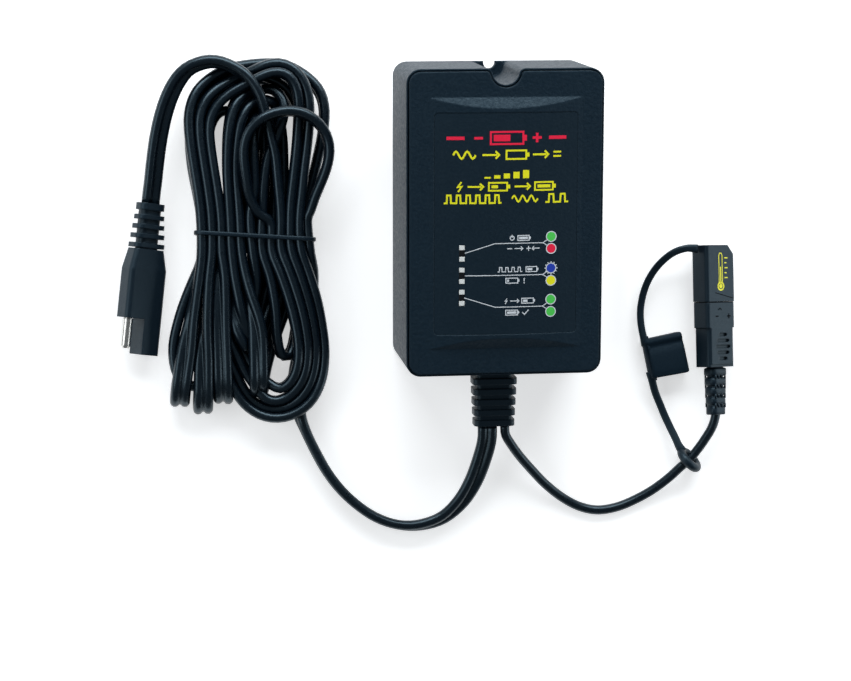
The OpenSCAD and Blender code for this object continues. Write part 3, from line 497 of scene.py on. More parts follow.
def output_cord():
    """Middle line and wide axis of the whole output cord, from the gland to the plug."""
    lead = np.column_stack([LEAD_ROUTE, wide_from_roll(LEAD_ROUTE, LEAD_ROLLS)])
    tail = np.column_stack([TAIL_ROUTE, wide_from_roll(TAIL_ROUTE, TAIL_ROLLS)])
    flat = lambda points: [(*p[:3], *wide_of(p[3])) for p in points]
    rows = one_way([*lead, *flat(LEAD_UP), *hank_controls(), *flat(TAIL_UP), *tail])
    curve = smooth_path(rows, CORD_STEP)
    path, wide = curve[:, :3], curve[:, 3:]
    far = np.arange(len(path)) * CORD_STEP
    lead_len = path_length(np.array(LEAD_ROUTE)) - LEAD_FREE
    tail_len = path_length(np.array(TAIL_ROUTE)) - TAIL_FREE
    free = np.clip((far - lead_len) / EASE, 0, 1) * np.clip((far[-1] - tail_len - far) / EASE, 0, 1)
    return settle(path, wide, free)


# ---- Materials

def make_material(
    name, dark, light, rough, rough_span=0.08, grain=900.0, bump=0.15, depth=0.05, metallic=0.0,
    coat=0.0, specular=0.5, edge=0.0, scratches=0.0, sheen=(1.0, 1.0, 1.0),
):
    """A moulded, printed or metal surface: colour, roughness and height vary with noise in the row frame.

    edge is the radius in millimetres by which its sharp edges are softened in shading.
    scratches is how strongly fine lines along Y lift its roughness, and sheen tints its gloss.
    """
    mat = bpy.data.materials.new(name)
    mat.use_nodes = True
    nodes, links = mat.node_tree.nodes, mat.node_tree.links
    shader = nodes["Principled BSDF"]
    shader.inputs["Metallic"].default_value = metallic
    shader.inputs["Specular IOR Level"].default_value = specular
    if not metallic:
        shader.inputs["Specular Tint"].default_value = (*sheen, 1)
    if coat:
        shader.inputs["Coat Weight"].default_value = coat
        shader.inputs["Coat Roughness"].default_value = 0.12
    place = nodes.new("ShaderNodeTexCoord")
    broad = nodes.new("ShaderNodeTexNoise")
    broad.inputs["Scale"].default_value = 45.0
    broad.inputs["Detail"].default_value = 5.0
    links.new(place.outputs["Object"], broad.inputs["Vector"])
    mix = nodes.new("ShaderNodeMix")
    mix.data_type = "RGBA"
    mix.inputs["A"].default_value = (*dark, 1)
    mix.inputs["B"].default_value = (*light, 1)
    links.new(broad.outputs["Fac"], mix.inputs["Factor"])
    links.new(mix.outputs["Result"], shader.inputs["Base Color"])
    grains = nodes.new("ShaderNodeTexNoise")
    grains.inputs["Scale"].default_value = grain
    grains.inputs["Detail"].default_value = 3.0
    links.new(place.outputs["Object"], grains.inputs["Vector"])
    if scratches:
        stretch = nodes.new("ShaderNodeMapping")
        stretch.inputs["Scale"].default_value = (1.0, 1.0 - scratches, 1.0)
        links.new(place.outputs["Object"], stretch.inputs["Vector"])
        links.new(stretch.outputs["Vector"], grains.inputs["Vector"])
    span = nodes.new("ShaderNodeMapRange")
    span.inputs["From Min"].default_value = 0.3
    span.inputs["From Max"].default_value = 0.7
    span.inputs["To Min"].default_value = rough - rough_span
    span.inputs["To Max"].default_value = rough + rough_span
    links.new(grains.outputs["Fac"], span.inputs["Value"])
    links.new(span.outputs["Result"], shader.inputs["Roughness"])
    height = nodes.new("ShaderNodeBump")
    height.inputs["Strength"].default_value = bump
    height.inputs["Distance"].default_value = depth * MM
    links.new(grains.outputs["Fac"], height.inputs["Height"])
    if edge:
        soft = nodes.new("ShaderNodeBevel")
        soft.samples = 6
        soft.inputs["Radius"].default_value = edge * MM
        links.new(soft.outputs["Normal"], height.inputs["Normal"])
    links.new(height.outputs["Normal"], shader.inputs["Normal"])
    return mat


NAVY_SHEEN = (0.62, 0.86, 1.0)
PRINTED = dict(rough=0.45, bump=0.08, depth=0.02)

# For each material slot of the record, and each colour of print: the settings of its material
FINISHES = {
    "case": dict(dark=(0.0016, 0.0078, 0.0160), light=(0.0026, 0.0108, 0.0210), rough=0.54, rough_span=0.10,
                 grain=850.0, bump=1.0, depth=0.20, edge=0.8, specular=0.42, sheen=NAVY_SHEEN),
    "label": dict(dark=(0.0026, 0.0088, 0.0165), light=(0.0036, 0.0110, 0.0200), rough=0.50, rough_span=0.08,
                  grain=1000.0, bump=0.7, depth=0.12, specular=0.42, sheen=NAVY_SHEEN),
    "lens": dict(dark=(0.002, 0.003, 0.004), light=(0.004, 0.005, 0.007), rough=0.22, edge=0.2),
    "diffuser": dict(dark=(0.70, 0.72, 0.71), light=(0.80, 0.82, 0.80), rough=0.35, bump=0.05, edge=0.25),
    "rubber": dict(dark=(0.0014, 0.0056, 0.0110), light=(0.0026, 0.0082, 0.0155), rough=0.44, rough_span=0.07,
                   grain=1500.0, bump=0.25, depth=0.05, specular=0.45, edge=0.55, sheen=NAVY_SHEEN),
    "cap_rubber": dict(dark=(0.0020, 0.0082, 0.0160), light=(0.0032, 0.0110, 0.0205), rough=0.66,
                       rough_span=0.08, grain=1300.0, bump=0.35, depth=0.06, specular=0.22, sheen=NAVY_SHEEN),
    # Near-black and matte: the moulded signs, the seam line, and the ring of painted shade in the joint
    # between the collar and the sensor block
    "moulded_sign": dict(dark=(0.0004, 0.0008, 0.0015), light=(0.0008, 0.0014, 0.0025), rough=0.7,
                         specular=0.05),
    "cord": dict(dark=(0.0006, 0.0024, 0.0052), light=(0.0012, 0.0038, 0.0078), rough=0.30, rough_span=0.05,
                 grain=700.0, bump=0.08, depth=0.04, specular=0.6, sheen=NAVY_SHEEN),
    "nickel": dict(dark=(0.62, 0.61, 0.58), light=(0.78, 0.77, 0.74), rough=0.24, rough_span=0.08,
                   grain=2400.0, bump=0.06, depth=0.02, metallic=1.0, edge=0.3, scratches=0.92),
    "brass": dict(dark=(0.56, 0.41, 0.16), light=(0.70, 0.54, 0.25), rough=0.26, metallic=1.0, bump=0.05,
                  edge=0.15),
    "steel": dict(dark=(0.42, 0.43, 0.45), light=(0.58, 0.59, 0.61), rough=0.34, metallic=1.0, bump=0.08,
                  edge=0.2),
    "board": dict(dark=(0.008, 0.085, 0.035), light=(0.015, 0.125, 0.055), rough=0.38, bump=0.10),
    "ferrite": dict(dark=(0.012, 0.012, 0.014), light=(0.024, 0.024, 0.027), rough=0.62, bump=0.25, edge=0.3),
    "bobbin": dict(dark=(0.006, 0.006, 0.007), light=(0.012, 0.012, 0.013), rough=0.45, edge=0.3),
    "tape": dict(dark=(0.52, 0.36, 0.02), light=(0.66, 0.48, 0.04), rough=0.28, coat=0.3, bump=0.06),
    "copper": dict(dark=(0.42, 0.16, 0.06), light=(0.56, 0.24, 0.09), rough=0.25, metallic=1.0, coat=0.4),
    "toroid": dict(dark=(0.34, 0.30, 0.05), light=(0.44, 0.38, 0.08), rough=0.50, bump=0.2),
    "sleeve": dict(dark=(0.006, 0.010, 0.060), light=(0.012, 0.018, 0.090), rough=0.26, coat=0.4),
    "package": dict(dark=(0.007, 0.007, 0.008), light=(0.014, 0.014, 0.015), rough=0.52, bump=0.2, edge=0.2),
    "sink": dict(dark=(0.46, 0.47, 0.49), light=(0.58, 0.59, 0.61), rough=0.38, metallic=1.0, edge=0.2,
                 scratches=0.9),
    "fuse_body": dict(dark=(0.60, 0.57, 0.48), light=(0.70, 0.67, 0.58), rough=0.22, coat=0.3),
    "led": dict(dark=(0.60, 0.66, 0.60), light=(0.74, 0.80, 0.74), rough=0.15, coat=0.5, bump=0.03),
    "wire_white": dict(dark=(0.62, 0.62, 0.58), light=(0.74, 0.74, 0.70), rough=0.36),
    "wire_red": dict(dark=(0.36, 0.012, 0.010), light=(0.48, 0.022, 0.018), rough=0.36),
    "print_white": dict(dark=(0.62, 0.66, 0.70), light=(0.74, 0.78, 0.82), **PRINTED),
    "print_red": dict(dark=(0.80, 0.008, 0.046), light=(0.92, 0.014, 0.064), **PRINTED),
    "print_yellow": dict(dark=(0.80, 0.76, 0.008), light=(0.90, 0.86, 0.014), **PRINTED),
    "print_green": dict(dark=(0.065, 0.54, 0.075), light=(0.090, 0.66, 0.100), **PRINTED),
    "print_blue": dict(dark=(0.010, 0.035, 0.36), light=(0.018, 0.055, 0.46), **PRINTED),
}


# ---- Local frames

def turned(points, turn_y, turn_z, at):
    """Points turned about Y and then Z, in radians, and moved to at."""
    p = np.asarray(points, float)
    x = p[:, 0] * math.cos(turn_y) + p[:, 2] * math.sin(turn_y)
    z = -p[:, 0] * math.sin(turn_y) + p[:, 2] * math.cos(turn_y)
    return np.column_stack([
        at[0] + x * math.cos(turn_z) - p[:, 1] * math.sin(turn_z),
        at[1] + x * math.sin(turn_z) + p[:, 1] * math.cos(turn_z),
        at[2] + z,
    ])


BLOCK_W, BLOCK_T, CONN_ROUND = 15.8, 9.0, 1.4
COLLAR_T = 8.8
CONN_X, CONN_ROLL = 92.4, math.radians(30)
CONN_Z = (
    (BLOCK_W / 2 - CONN_ROUND) * math.sin(CONN_ROLL) + (BLOCK_T / 2 - CONN_ROUND) * math.cos(CONN_ROLL)
    + CONN_ROUND
)
BOOT_Y, GRIP_Y, COLLAR_Y, MATING_Y = -81.0, -61.6, -45.8, -35.6
MATING_GAP = 0.4
BLOCK_Y = MATING_Y + MATING_GAP
CAP_AT, CAP_TURN = (72.7, -56.6, 0.2), math.radians(10.7)
RING_AT, RING_R, RING_TUBE = (81.3, -99.0, 6.0), 4.4, 1.8
RING_RISE, RING_HEADING = math.radians(23), math.radians(45)
WEB_R = 0.42


def at_connector(points):
    return turned(points, CONN_ROLL, 0.0, (CONN_X, 0.0, CONN_Z))


def at_cap(points):
    return turned(points, 0.0, CAP_TURN, CAP_AT)


def round_section(w, t, r, steps=4):
    """Outline of a w by t rectangle with corners of radius r."""
    points = []
    for x, y, a0 in ((1, 1, 0), (-1, 1, 90), (-1, -1, 180), (1, -1, 270)):
        for k in range(steps + 1):
            a = math.radians(a0 + 90 * k / steps)
            points.append((x * (w / 2 - r) + r * math.cos(a), y * (t / 2 - r) + r * math.sin(a)))
    return np.array(points)


def loft(name, rings, material, place, body="charger", closed=False):
    """A skin through rings of points; closed joins the last ring to the first, else both ends are filled."""
    rows, cols = len(rings), len(rings[0])
    faces = grid_faces(rows, cols)
    if closed:
        faces += [((rows - 1) * cols + k, (rows - 1) * cols + (k + 1) % cols, (k + 1) % cols, k)
                  for k in range(cols)]
    else:
        faces.append(tuple(range(cols - 1, -1, -1)))
        faces.append(tuple((rows - 1) * cols + k for k in range(cols)))
    points = place(np.array(rings, float).reshape(-1, 3))
    return add_mesh(name, [tuple(p) for p in points], faces, material, body)


# ---- Print: flat ink shapes, laid on a surface that a function of x and y describes

class Ink:
    """Collects flat shapes in one colour as quads, and lays them on a surface."""

    def __init__(self):
        self.points, self.faces = [], []

    def strip(self, line, width):
        """A line of the given width through points, mitred at its corners."""
        fine = [line[0]]
        for a, b in zip(line, line[1:]):
            n = max(1, int(math.dist(a, b) / 1.5))
            fine += [(a[0] + (b[0] - a[0]) * k / n, a[1] + (b[1] - a[1]) * k / n) for k in range(1, n + 1)]
        p = np.array(fine, float)
        d = unit_rows(np.diff(p, axis=0))
        before, after = np.vstack([d[:1], d]), np.vstack([d, d[-1:]])
        mid = unit_rows(before + after)
        normal = np.column_stack([-mid[:, 1], mid[:, 0]])
        half = width / 2 / np.maximum((mid * before).sum(1, keepdims=True), 0.5)
        first = len(self.points)
        for a, b in zip(p + normal * half, p - normal * half):
            self.points += [tuple(a), tuple(b)]
        for k in range(len(p) - 1):
            i = first + 2 * k
            self.faces.append((i, i + 1, i + 3, i + 2))

    def ring(self, x, y, outer, inner=0.0, points=28):
        """A round ring, or a dot where inner is 0."""
        first = len(self.points)
        inner = max(inner, 0.02)
        for k in range(points):
            a = 2 * math.pi * k / points
            self.points += [(x + outer * math.cos(a), y + outer * math.sin(a)),
                            (x + inner * math.cos(a), y + inner * math.sin(a))]
        for k in range(points):
            i, j = first + 2 * k, first + 2 * ((k + 1) % points)
            self.faces.append((i, j, j + 1, i + 1))

    def bar(self, x0, x1, y0, y1):
        self.strip([(x0, (y0 + y1) / 2), (x1, (y0 + y1) / 2)], y1 - y0)

    def box(self, x, y, w, h, line):
        """The outline of a rectangle centred on x, y."""
        a, b = w / 2, h / 2
        self.strip(
            [(x, y + b), (x - a, y + b), (x - a, y - b), (x + a, y - b), (x + a, y + b), (x, y + b)], line)

    def plus(self, x, y, size, line):
        self.strip([(x - size / 2, y), (x + size / 2, y)], line)
        self.strip([(x, y - size / 2), (x, y - line / 2)], line)
        self.strip([(x, y + line / 2), (x, y + size / 2)], line)

    def battery(self, x, y, w, h, line, level):
        """A battery lying on its side, with the given part of it filled."""
        self.box(x, y, w, h, line)
        self.bar(x + w / 2 + line / 2, x + w / 2 + line * 1.8, y - h / 4, y + h / 4)
        if level:
            inner = w - 3 * line
            tall = h / 2 - 1.4 * line
            self.bar(x - inner / 2, x - inner / 2 + inner * level, y - tall, y + tall)

    def bolt(self, x, y, h, line):
        self.strip([(x + 0.18 * h, y + h / 2), (x - 0.2 * h, y - 0.02 * h), (x + 0.2 * h, y + 0.04 * h),
                    (x - 0.16 * h, y - h / 2)], line)

    def arrow(self, x0, x1, y, size, line):
        self.strip([(x0, y), (x1 - 0.3 * size, y)], line)
        self.strip([(x1 - size / 2, y + size / 2), (x1, y), (x1 - size / 2, y - size / 2)], line)

    def wave(self, x0, x1, y, h, turns, line):
        n = 8 * turns
        self.strip([(x0 + (x1 - x0) * k / n, y + h / 2 * math.sin(2 * math.pi * turns * k / n))
                    for k in range(n + 1)], line)

    def pulses(self, x0, x1, y, h, count, line):
        step = (x1 - x0) / count
        points = []
        for k in range(count):
            a = x0 + k * step
            points += [(a, y - h / 2), (a + 0.3 * step, y - h / 2), (a + 0.34 * step, y + h / 2),
                       (a + 0.7 * step, y + h / 2), (a + 0.74 * step, y - h / 2)]
        self.strip(points + [(x1, y - h / 2)], line)

    def lay(self, name, surface, material, body="charger"):
        points = [tuple(surface(x, y)) for x, y in self.points]
        piece = add_mesh(name, points, self.faces, material, body, smooth=False)
        return piece


PAD_W, PAD_H = 59.2, 2.2
PAD_R = ((PAD_W / 2) ** 2 + PAD_H**2) / (2 * PAD_H)
PAD_AXIS_Z = CASE_D + PAD_H - PAD_R
LABEL_DEPTH, LABEL_SKIN = 0.4, 0.35
LABEL_R = PAD_R - LABEL_DEPTH + LABEL_SKIN
INK_LIFT, MARK_LIFT, SIGN_LIFT = 0.04, 0.05, 0.12
DOT_X = 17.5


def on_label(x, y):
    """A point just over the label's bowed face."""
    return from_case(x, y, PAD_AXIS_Z + math.sqrt((LABEL_R + INK_LIFT) ** 2 - x * x))


def on_block(x, y):
    """A point just over the sensor block's face."""
    return at_connector([(x, y, BLOCK_T / 2 + MARK_LIFT)])[0]


def on_collar(x, y):
    """A point just over the connector collar's face."""
    return at_connector([(x, y, COLLAR_T / 2 + SIGN_LIFT)])[0]


def label_print():
    white, red, yellow, green, blue = Ink(), Ink(), Ink(), Ink(), Ink()
    # Red heading: a battery between a minus and a plus, with a bar on each side
    red.battery(0, 92, 12.5, 4.6, 0.75, 0.62)
    red.bar(-12.6, -9.2, 91.5, 92.5)
    red.plus(11.6, 92, 3.6, 1.0)
    for side in (-1, 1):
        red.strip([(side * 16.2, 92), (side * 23, 92)], 1.3)
    # Yellow lines: mains to battery, its level, how it is charged, and pulses
    yellow.wave(-20.5, -12, 85.6, 2.8, 2, 0.75)
    yellow.arrow(-9.4, -3, 85.6, 2.8, 0.75)
    yellow.battery(3.6, 85.6, 7.6, 3.2, 0.7, 0.0)
    yellow.arrow(10, 16, 85.6, 2.8, 0.75)
    yellow.bar(18, 21, 86.1, 86.8)
    yellow.bar(18, 21, 84.5, 85.2)
    for k in range(5):
        yellow.bar(-8.6 + 3.7 * k, -6.2 + 3.7 * k, 76.6, 77.3 + 0.6 * k)
    yellow.bolt(-18, 73.5, 3.8, 0.7)
    yellow.arrow(-15, -9, 73.5, 2.6, 0.7)
    yellow.battery(-3.4, 73.5, 7, 3, 0.65, 0.5)
    yellow.arrow(3, 9, 73.5, 2.6, 0.7)
    yellow.battery(14.4, 73.5, 7, 3, 0.65, 1.0)
    yellow.pulses(-24, -2, 68.8, 3.0, 6, 0.7)
    yellow.wave(2, 12, 68.8, 2.4, 3, 0.65)
    yellow.pulses(15, 24, 68.8, 3.0, 2, 0.7)
    # Lines from the windows to the six dots
    for line in (
        [(-15.9, 48.1), (-4.4, 51.7), (14.2, 51.7)], [(-15.9, 39.4), (14.2, 39.4)],
        [(-16.1, 30.9), (-4.2, 27.1), (14.2, 27.1)],
    ):
        white.strip(line, 0.32)
        x, y = line[-1]
        for side in (-1, 1):
            white.strip([(x, y), (x + 1.7, y + side * 1.1)], 0.32)
    for k, (y, ink) in enumerate((
        (54.0, green), (49.4, red), (41.8, blue), (37.0, yellow), (29.7, green), (24.9, green),
    )):
        white.ring(DOT_X, y, 2.1, 1.74, 32)
        ink.ring(DOT_X, y, 1.72, 0.0)
    for k in range(12):
        a = math.pi * k / 6
        white.strip([(DOT_X + r * math.cos(a), 41.8 + r * math.sin(a)) for r in (1.9, 2.6)], 0.34)
    # Signs beside the lines, one for each dot
    white.ring(2.2, 53.7, 0.95, 0.6)
    white.strip([(2.2, 53.8), (2.2, 55.0)], 0.35)
    white.battery(6.6, 53.7, 4.4, 1.9, 0.35, 1.0)
    white.bar(0.4, 2.2, 49.45, 49.85)
    white.arrow(3.2, 6.4, 49.65, 1.5, 0.35)
    white.plus(8.6, 49.65, 1.8, 0.38)
    white.arrow(13, 10, 49.65, -1.5, 0.35)
    white.pulses(-3.4, 6.2, 41.6, 1.7, 4, 0.33)
    white.battery(9.8, 41.6, 4.2, 1.9, 0.35, 0.6)
    white.battery(2.2, 37.3, 4.6, 1.9, 0.35, 0.2)
    white.strip([(7, 38.2), (7, 36.9)], 0.4)
    white.ring(7, 36.35, 0.26, 0.0, 10)
    white.bolt(0, 29.4, 2.0, 0.35)
    white.arrow(1.6, 5, 29.4, 1.5, 0.35)
    white.battery(8.4, 29.4, 4.6, 1.9, 0.35, 0.5)
    white.battery(2.2, 24.9, 4.6, 1.9, 0.35, 1.0)
    white.strip([(6.4, 24.9), (7.2, 24.1), (8.8, 25.8)], 0.4)
    for name, ink, look in (
        ("label_print_white", white, "print_white"), ("label_print_red", red, "print_red"),
        ("label_print_yellow", yellow, "print_yellow"), ("label_print_green", green, "print_green"),
        ("label_print_blue", blue, "print_blue"),
    ):
        ink.lay(name, on_label, MATS[look])


def sensor_print():
    """The sensor block's thermometer and seam, the collar's moulded signs, and a near-black ring of painted
    shade in the gap where the block meets the collar.
    """
    yellow = Ink()
    top = BLOCK_Y + 19.5
    yellow.ring(-0.2, BLOCK_Y + 6.2, 1.9, 1.25, 20)
    yellow.ring(-0.2, BLOCK_Y + 6.2, 0.9, 0.0, 16)
    yellow.strip([(-1.1, BLOCK_Y + 7.9), (-1.1, top - 1), (-0.7, top), (0.3, top), (0.7, top - 1),
                  (0.7, BLOCK_Y + 7.9)], 0.36)
    yellow.strip([(-0.2, BLOCK_Y + 7), (-0.2, BLOCK_Y + 14)], 0.6)
    for k in range(5):
        long = 1.7 if k % 2 == 0 else 1.1
        yellow.strip([(2.0, BLOCK_Y + 9.6 + 2 * k), (2.0 + long, BLOCK_Y + 9.6 + 2 * k)], 0.45)
    yellow.lay("sensor_print", on_block, MATS["print_yellow"], "sensor")
    seam = Ink()
    seam.strip([(-3.4, BLOCK_Y + 3.6), (6.5, BLOCK_Y + 1.3)], 0.28)
    seam.lay("housing_seam", on_block, MATS["moulded_sign"], "sensor")
    raised = Ink()
    raised.strip([(-3.4, COLLAR_Y + 4.7), (-1.8, COLLAR_Y + 4.7)], 0.45)
    raised.plus(4.0, COLLAR_Y + 4.7, 2.0, 0.45)
    raised.strip([(-1.8, COLLAR_Y + 7.2), (-0.9, COLLAR_Y + 8.0), (0.0, COLLAR_Y + 7.2)], 0.3)
    # Painted shade: a near-black ring fills the gap between the collar and the sensor block, so the joint
    # shows dark where the two parts meet tightly
    low, high = -0.02, MATING_GAP - 0.04
    outside, inside = (15.1, 8.5, 1.2), (14.4, 6.5, 0.6)
    joint_shade = loft(
        "joint_shade_ring",
        [[(x, MATING_Y + y, z) for x, z in round_section(*size)]
         for size, y in ((outside, low), (outside, high), (inside, high), (inside, low))],
        MATS["moulded_sign"], at_connector, closed=True)
    marks = raised.lay("collar_signs", on_collar, MATS["moulded_sign"])


# ---- Pieces

SENSOR_EXIT = from_case(THIN_X, -GLAND_LEN - 0.2, GLAND_Z)
SENSOR_ROUTE = [
    SENSOR_EXIT, (SENSOR_EXIT[0] + 0.3, SENSOR_EXIT[1] - 4, SENSOR_EXIT[2] - 0.7),
    (7.4, -90.4, 11.6), (11, -95.2, 9.6), (16, -100.8, 7), (22.5, -107.5, 4.4), (30, -113.4, 2.5),
    (37, -117.1, 1.95), (44, -118.6, 1.9), (52, -117.6, 1.9), (59.6, -114.8, 2), (66.3, -111.2, 3),
    (72.8, -106.4, 4.6), (77.8, -101.9, 5.6), (81.3, -99, 6), (84.8, -95, 6.3), (88, -90.6, 6.8),
    (90.8, -86, 7.2), (CONN_X - 0.1, BOOT_Y - 0.2, CONN_Z), (CONN_X, BOOT_Y + 3, CONN_Z),
]
UPPER_ROUTE = [
    (84.9, -13.8, 12), (80.6, -13.5, 12.2), (75.6, -15, 10.9), (71.4, -18.2, 8.9), (68.1, -22.2, 6.9),
    (65.5, -27, 5.3), (63.7, -32.6, 4.3), (62.8, -38.4, 3.9), (62.9, -44, 4.2), (63.7, -49.1, 4.7),
    (64.5, -52.4, 4.7),
]
LOWER_ROUTE = [
    (66.2, -63, 4.7), (66.9, -66.5, 4.7), (68.3, -71.3, 3.6), (70.4, -76.4, 2.8), (72.3, -81.2, 2.8),
    (74.3, -86, 3.6), (76.1, -90.3, 4.8), (77.3, -93.4, 5.6), (78.6, -95.6, 6.0),
]


def make_output_cord():
    path, wide = output_cord()
    cord = sweep(
        "output_cord", path, wide, np.cross(along_path(path), wide), twin_section(), MATS["cord"])
    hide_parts("output_lead", "output_hank", "output_tail")
    tie = tie_band(path, wide)


def hull(points):
    """The convex outline of 2-D points, anticlockwise."""
    points = sorted(map(tuple, points))
    outline = []
    for run in (points, points[::-1]):
        part = []
        for p in run:
            while len(part) > 1 and (
                (part[-1][0] - part[-2][0]) * (p[1] - part[-2][1])
                - (part[-1][1] - part[-2][1]) * (p[0] - part[-2][0])
            ) <= 0:
                part.pop()
            part.append(p)
        outline += part[:-1]
    return np.array(outline)


def tie_band(path, wide):
    """A narrow band drawn tight round the hank's lobes where they cross its slanting plane."""
    u = np.array((math.cos(TIE_TURN), math.sin(TIE_TURN), 0.0))
    n = np.array((-math.sin(TIE_TURN), math.cos(TIE_TURN), 0.0))
    middle = np.array((TIE_MIDDLE_X, TIE_Y, 0.0))
    near = (np.abs((path - middle) @ n) < 2.6) & (np.abs(path[:, 0] - TIE_MIDDLE_X) < 30)
    dots = []
    for p, w in zip(path[near], wide[near]):
        for side in (-1, 1):
            c = p + side * w * LOBE_R
            for k in range(12):
                a = math.pi * k / 6
                r = LOBE_R + 0.15
                dots.append(((c - middle) @ u + r * math.cos(a), max(c[2] + r * math.sin(a), 0.95)))
    outline = hull(dots)
    closed = np.vstack([outline, outline[:1]])
    far = np.concatenate([[0], np.cumsum(np.linalg.norm(np.diff(closed, axis=0), axis=1))])
    at = np.linspace(0, far[-1], 145)[:-1]
    ring = np.column_stack([np.interp(at, far, closed[:, k]) for k in (0, 1)])
    for _ in range(3):
        ring = (np.roll(ring, 1, 0) + 2 * ring + np.roll(ring, -1, 0)) / 4
    along = np.roll(ring, -1, 0) - np.roll(ring, 1, 0)
    out = unit_rows(np.column_stack([along[:, 1], -along[:, 0]]))
    section = round_section(1.7, 0.9, 0.4, 3)
    rings = []
    for c, o in zip(ring, out):
        rings.append([
            middle + u * (c[0] + o[0] * (t + 0.35)) + n * w + UP * max(c[1] + o[1] * (t + 0.35), 0.05)
            for w, t in section
        ])
    tie = loft("tie_band", rings, MATS["rubber"], lambda p: p, closed=True)
    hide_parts("cable_tie")
    return tie


def round_cord(name, control, radius, step, material, sides=16):
    path = smooth_path(control, step)
    along = along_path(path)
    side = unit_rows(np.cross(along, UP))
    ring = np.array([(radius * math.cos(2 * math.pi * k / sides), radius * math.sin(2 * math.pi * k / sides))
                     for k in range(sides)])
    return path, sweep(name, path, side, np.cross(side, along), ring, material)


def make_sensor_cord(pieces):
    path, cord = round_cord("sensor_cord", SENSOR_ROUTE, 1.88, 1.5, MATS["cord"])
    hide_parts("sensor_lead")


def strap(name, control, w, t, body="charger"):
    """A flat strap that widens a little at both ends."""
    path = smooth_path(control, 1.0)
    along = along_path(path)
    side = unit_rows(np.cross(along, UP))
    up = np.cross(side, along)
    ends = np.minimum(np.arange(len(path)), np.arange(len(path))[::-1])
    grow = 1 + 0.22 * np.exp(-((ends / 2.5) ** 2))
    section = round_section(w, t, 0.45 * t, 4)
    rings = [
        [p + s * x * g + v * y * g for x, y in section]
        for p, s, v, g in zip(path, side, up, grow)
    ]
    return loft(name, rings, MATS["rubber"], lambda q: q, body)


def make_tether():
    upper = strap("tether_upper", UPPER_ROUTE, 2.9, 2.0, body=None)
    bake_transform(upper)
    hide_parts("tether_strap_upper")
    lower = strap("tether_lower", LOWER_ROUTE, 3.1, 2.2)
    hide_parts("tether_strap_lower")
    rings = []
    for i in range(48):
        a = 2 * math.pi * i / 48
        tube = RING_TUBE * (1 + 0.04 * math.cos(2 * a))
        rings.append([
            ((RING_R + tube * math.cos(b)) * math.cos(a), (RING_R + tube * math.cos(b)) * math.sin(a),
             tube * math.sin(b))
            for b in (2 * math.pi * k / 20 for k in range(20))
        ])
    ring = loft(
        "tether_loop", rings, MATS["rubber"],
        lambda p: turned(p, math.pi / 2 - RING_RISE, RING_HEADING, RING_AT), closed=True)
    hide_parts("tether_ring")
    return [upper, lower, ring]


def make_cap():
    """The dust cap: a soft pocket, pinched near its closed end and a little wavy at its open edge."""
    def section(y, w, t, low, wave=0.0):
        return [
            (x, y + wave * math.sin(0.75 * x + 0.6), low + t / 2 + z + 0.12 * math.sin(0.5 * x + 0.4 * y))
            for x, z in round_section(w, t, 0.24 * t, 6)
        ]
    # Place along the cap, width and thickness of each ring, outside and then inside
    outer = [
        (8.2, 15.0, 4.4), (8.1, 15.6, 5.4), (7.7, 16.0, 6.2), (7.0, 16.1, 6.8), (6.2, 16.1, 6.8),
        (5.4, 16.1, 6.4), (4.6, 16.1, 6.1), (3.8, 16.1, 6.4), (3.0, 16.1, 6.9), (1, 16.1, 7.2),
        (-2, 16.0, 7.4), (-5, 16.0, 7.5), (-7.7, 16.0, 7.6), (-8.1, 15.8, 7.4),
    ]
    inner = [
        (-8.1, 14.2, 5.8), (-7.2, 14.0, 5.6), (-4, 14.0, 5.4), (0, 14.0, 5.2), (4, 14.0, 4.2),
        (6.2, 13.4, 3.4),
    ]
    rings = [section(y, w, t, 0.25, 0.28 if y < -7 else 0.0) for y, w, t in outer]
    rings += [section(y, w, t, 1.1, 0.28 if y < -7 else 0.0) for y, w, t in inner]
    cap = loft("soft_cap", rings, MATS["cap_rubber"], at_cap)
    edge = loft(
        "cap_edge_rib",
        [[(-6.9 + x, y, 4.1 + z) for x, z in round_section(w, t, 0.35 * t, 4)]
         for y, w, t in ((9.2, 2.8, 1.9), (7.6, 3.0, 3.0), (5, 3.1, 5.8), (-4, 3.1, 6.6), (-7.2, 3.1, 4.8),
                         (-9.0, 3.0, 2.2))],
        MATS["cap_rubber"], at_cap)
    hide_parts("dust_cap")
    return [cap, edge]


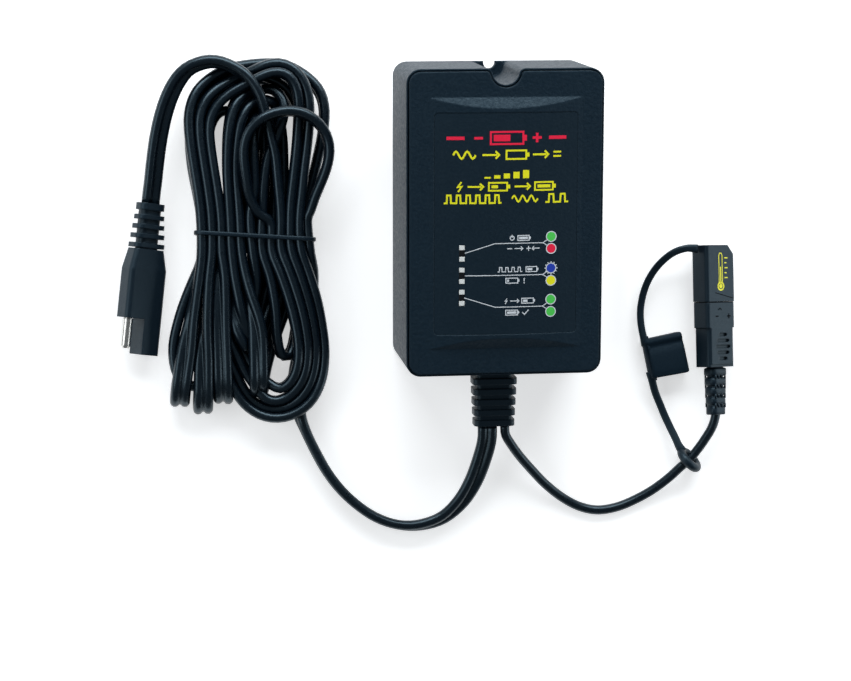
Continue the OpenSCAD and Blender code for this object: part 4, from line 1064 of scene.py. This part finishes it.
def make_boot():
    """The connector's boot: ribs joined by small webs, which leave openings between them."""
    ribs = 5
    pitch = (GRIP_Y - BOOT_Y) / ribs
    profile = []
    for k in range(ribs):
        w, t = 8.9 - 0.35 * k, 6.6 - 0.2 * k
        top = GRIP_Y - 0.6 - pitch * k
        low = GRIP_Y + 0.5 - pitch * (k + 1)
        if k == ribs - 1:
            low = BOOT_Y + 0.05
        profile += [(top + 0.35, 6.4, 4.9), (top, w - 0.5, t - 0.5), (top - 0.3, w, t), (low + 0.3, w, t),
                    (low, w - 0.5, t - 0.5)]
        if k < ribs - 1:
            profile.append((low - 0.35, 6.4, 4.9))
    rings = [[(x, y, z) for x, z in round_section(w, t, 0.36 * t, 6)] for y, w, t in profile]
    rings.insert(0, [(x, GRIP_Y, z) for x, z in round_section(6.4, 4.9, 1.8, 6)])
    boot = loft("boot_rings", rings, MATS["rubber"], at_connector)
    points, faces = [], []
    for k in range(ribs - 1):
        y0 = GRIP_Y - pitch * (k + 1)
        t = 6.1 - 0.2 * k
        spots = [(x, side * (t / 2 - 0.1)) for x in (-2.6, -0.9, 0.9, 2.6) for side in (-1, 1)]
        for x, z in spots:
            first = len(points)
            ring = [(x + WEB_R * math.cos(math.pi * j / 4), z + WEB_R * math.sin(math.pi * j / 4))
                    for j in range(8)]
            points += [(px, y0 - 0.9, pz) for px, pz in ring] + [(px, y0 + 0.9, pz) for px, pz in ring]
            faces += grid_faces(2, 8, first=first)
            faces += [tuple(first + j for j in range(7, -1, -1)), tuple(first + 8 + j for j in range(8))]
    webs = add_mesh(
        "boot_webs", [tuple(p) for p in at_connector(points)], faces, MATS["rubber"])
    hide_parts("connector_boot")
    return [boot, webs]


make_camera()
make_studio()
MATS = {name: make_material(name, **finish) for name, finish in FINISHES.items()}
for part in frame["record"]["subparts"]:
    for slot in frame["nodes"][part["node"]].material_slots:
        slot.material = MATS[part["material_slot"]]

make_output_cord()
make_sensor_cord([*make_boot(), *make_cap(), *make_tether()])
label_print()
sensor_print()
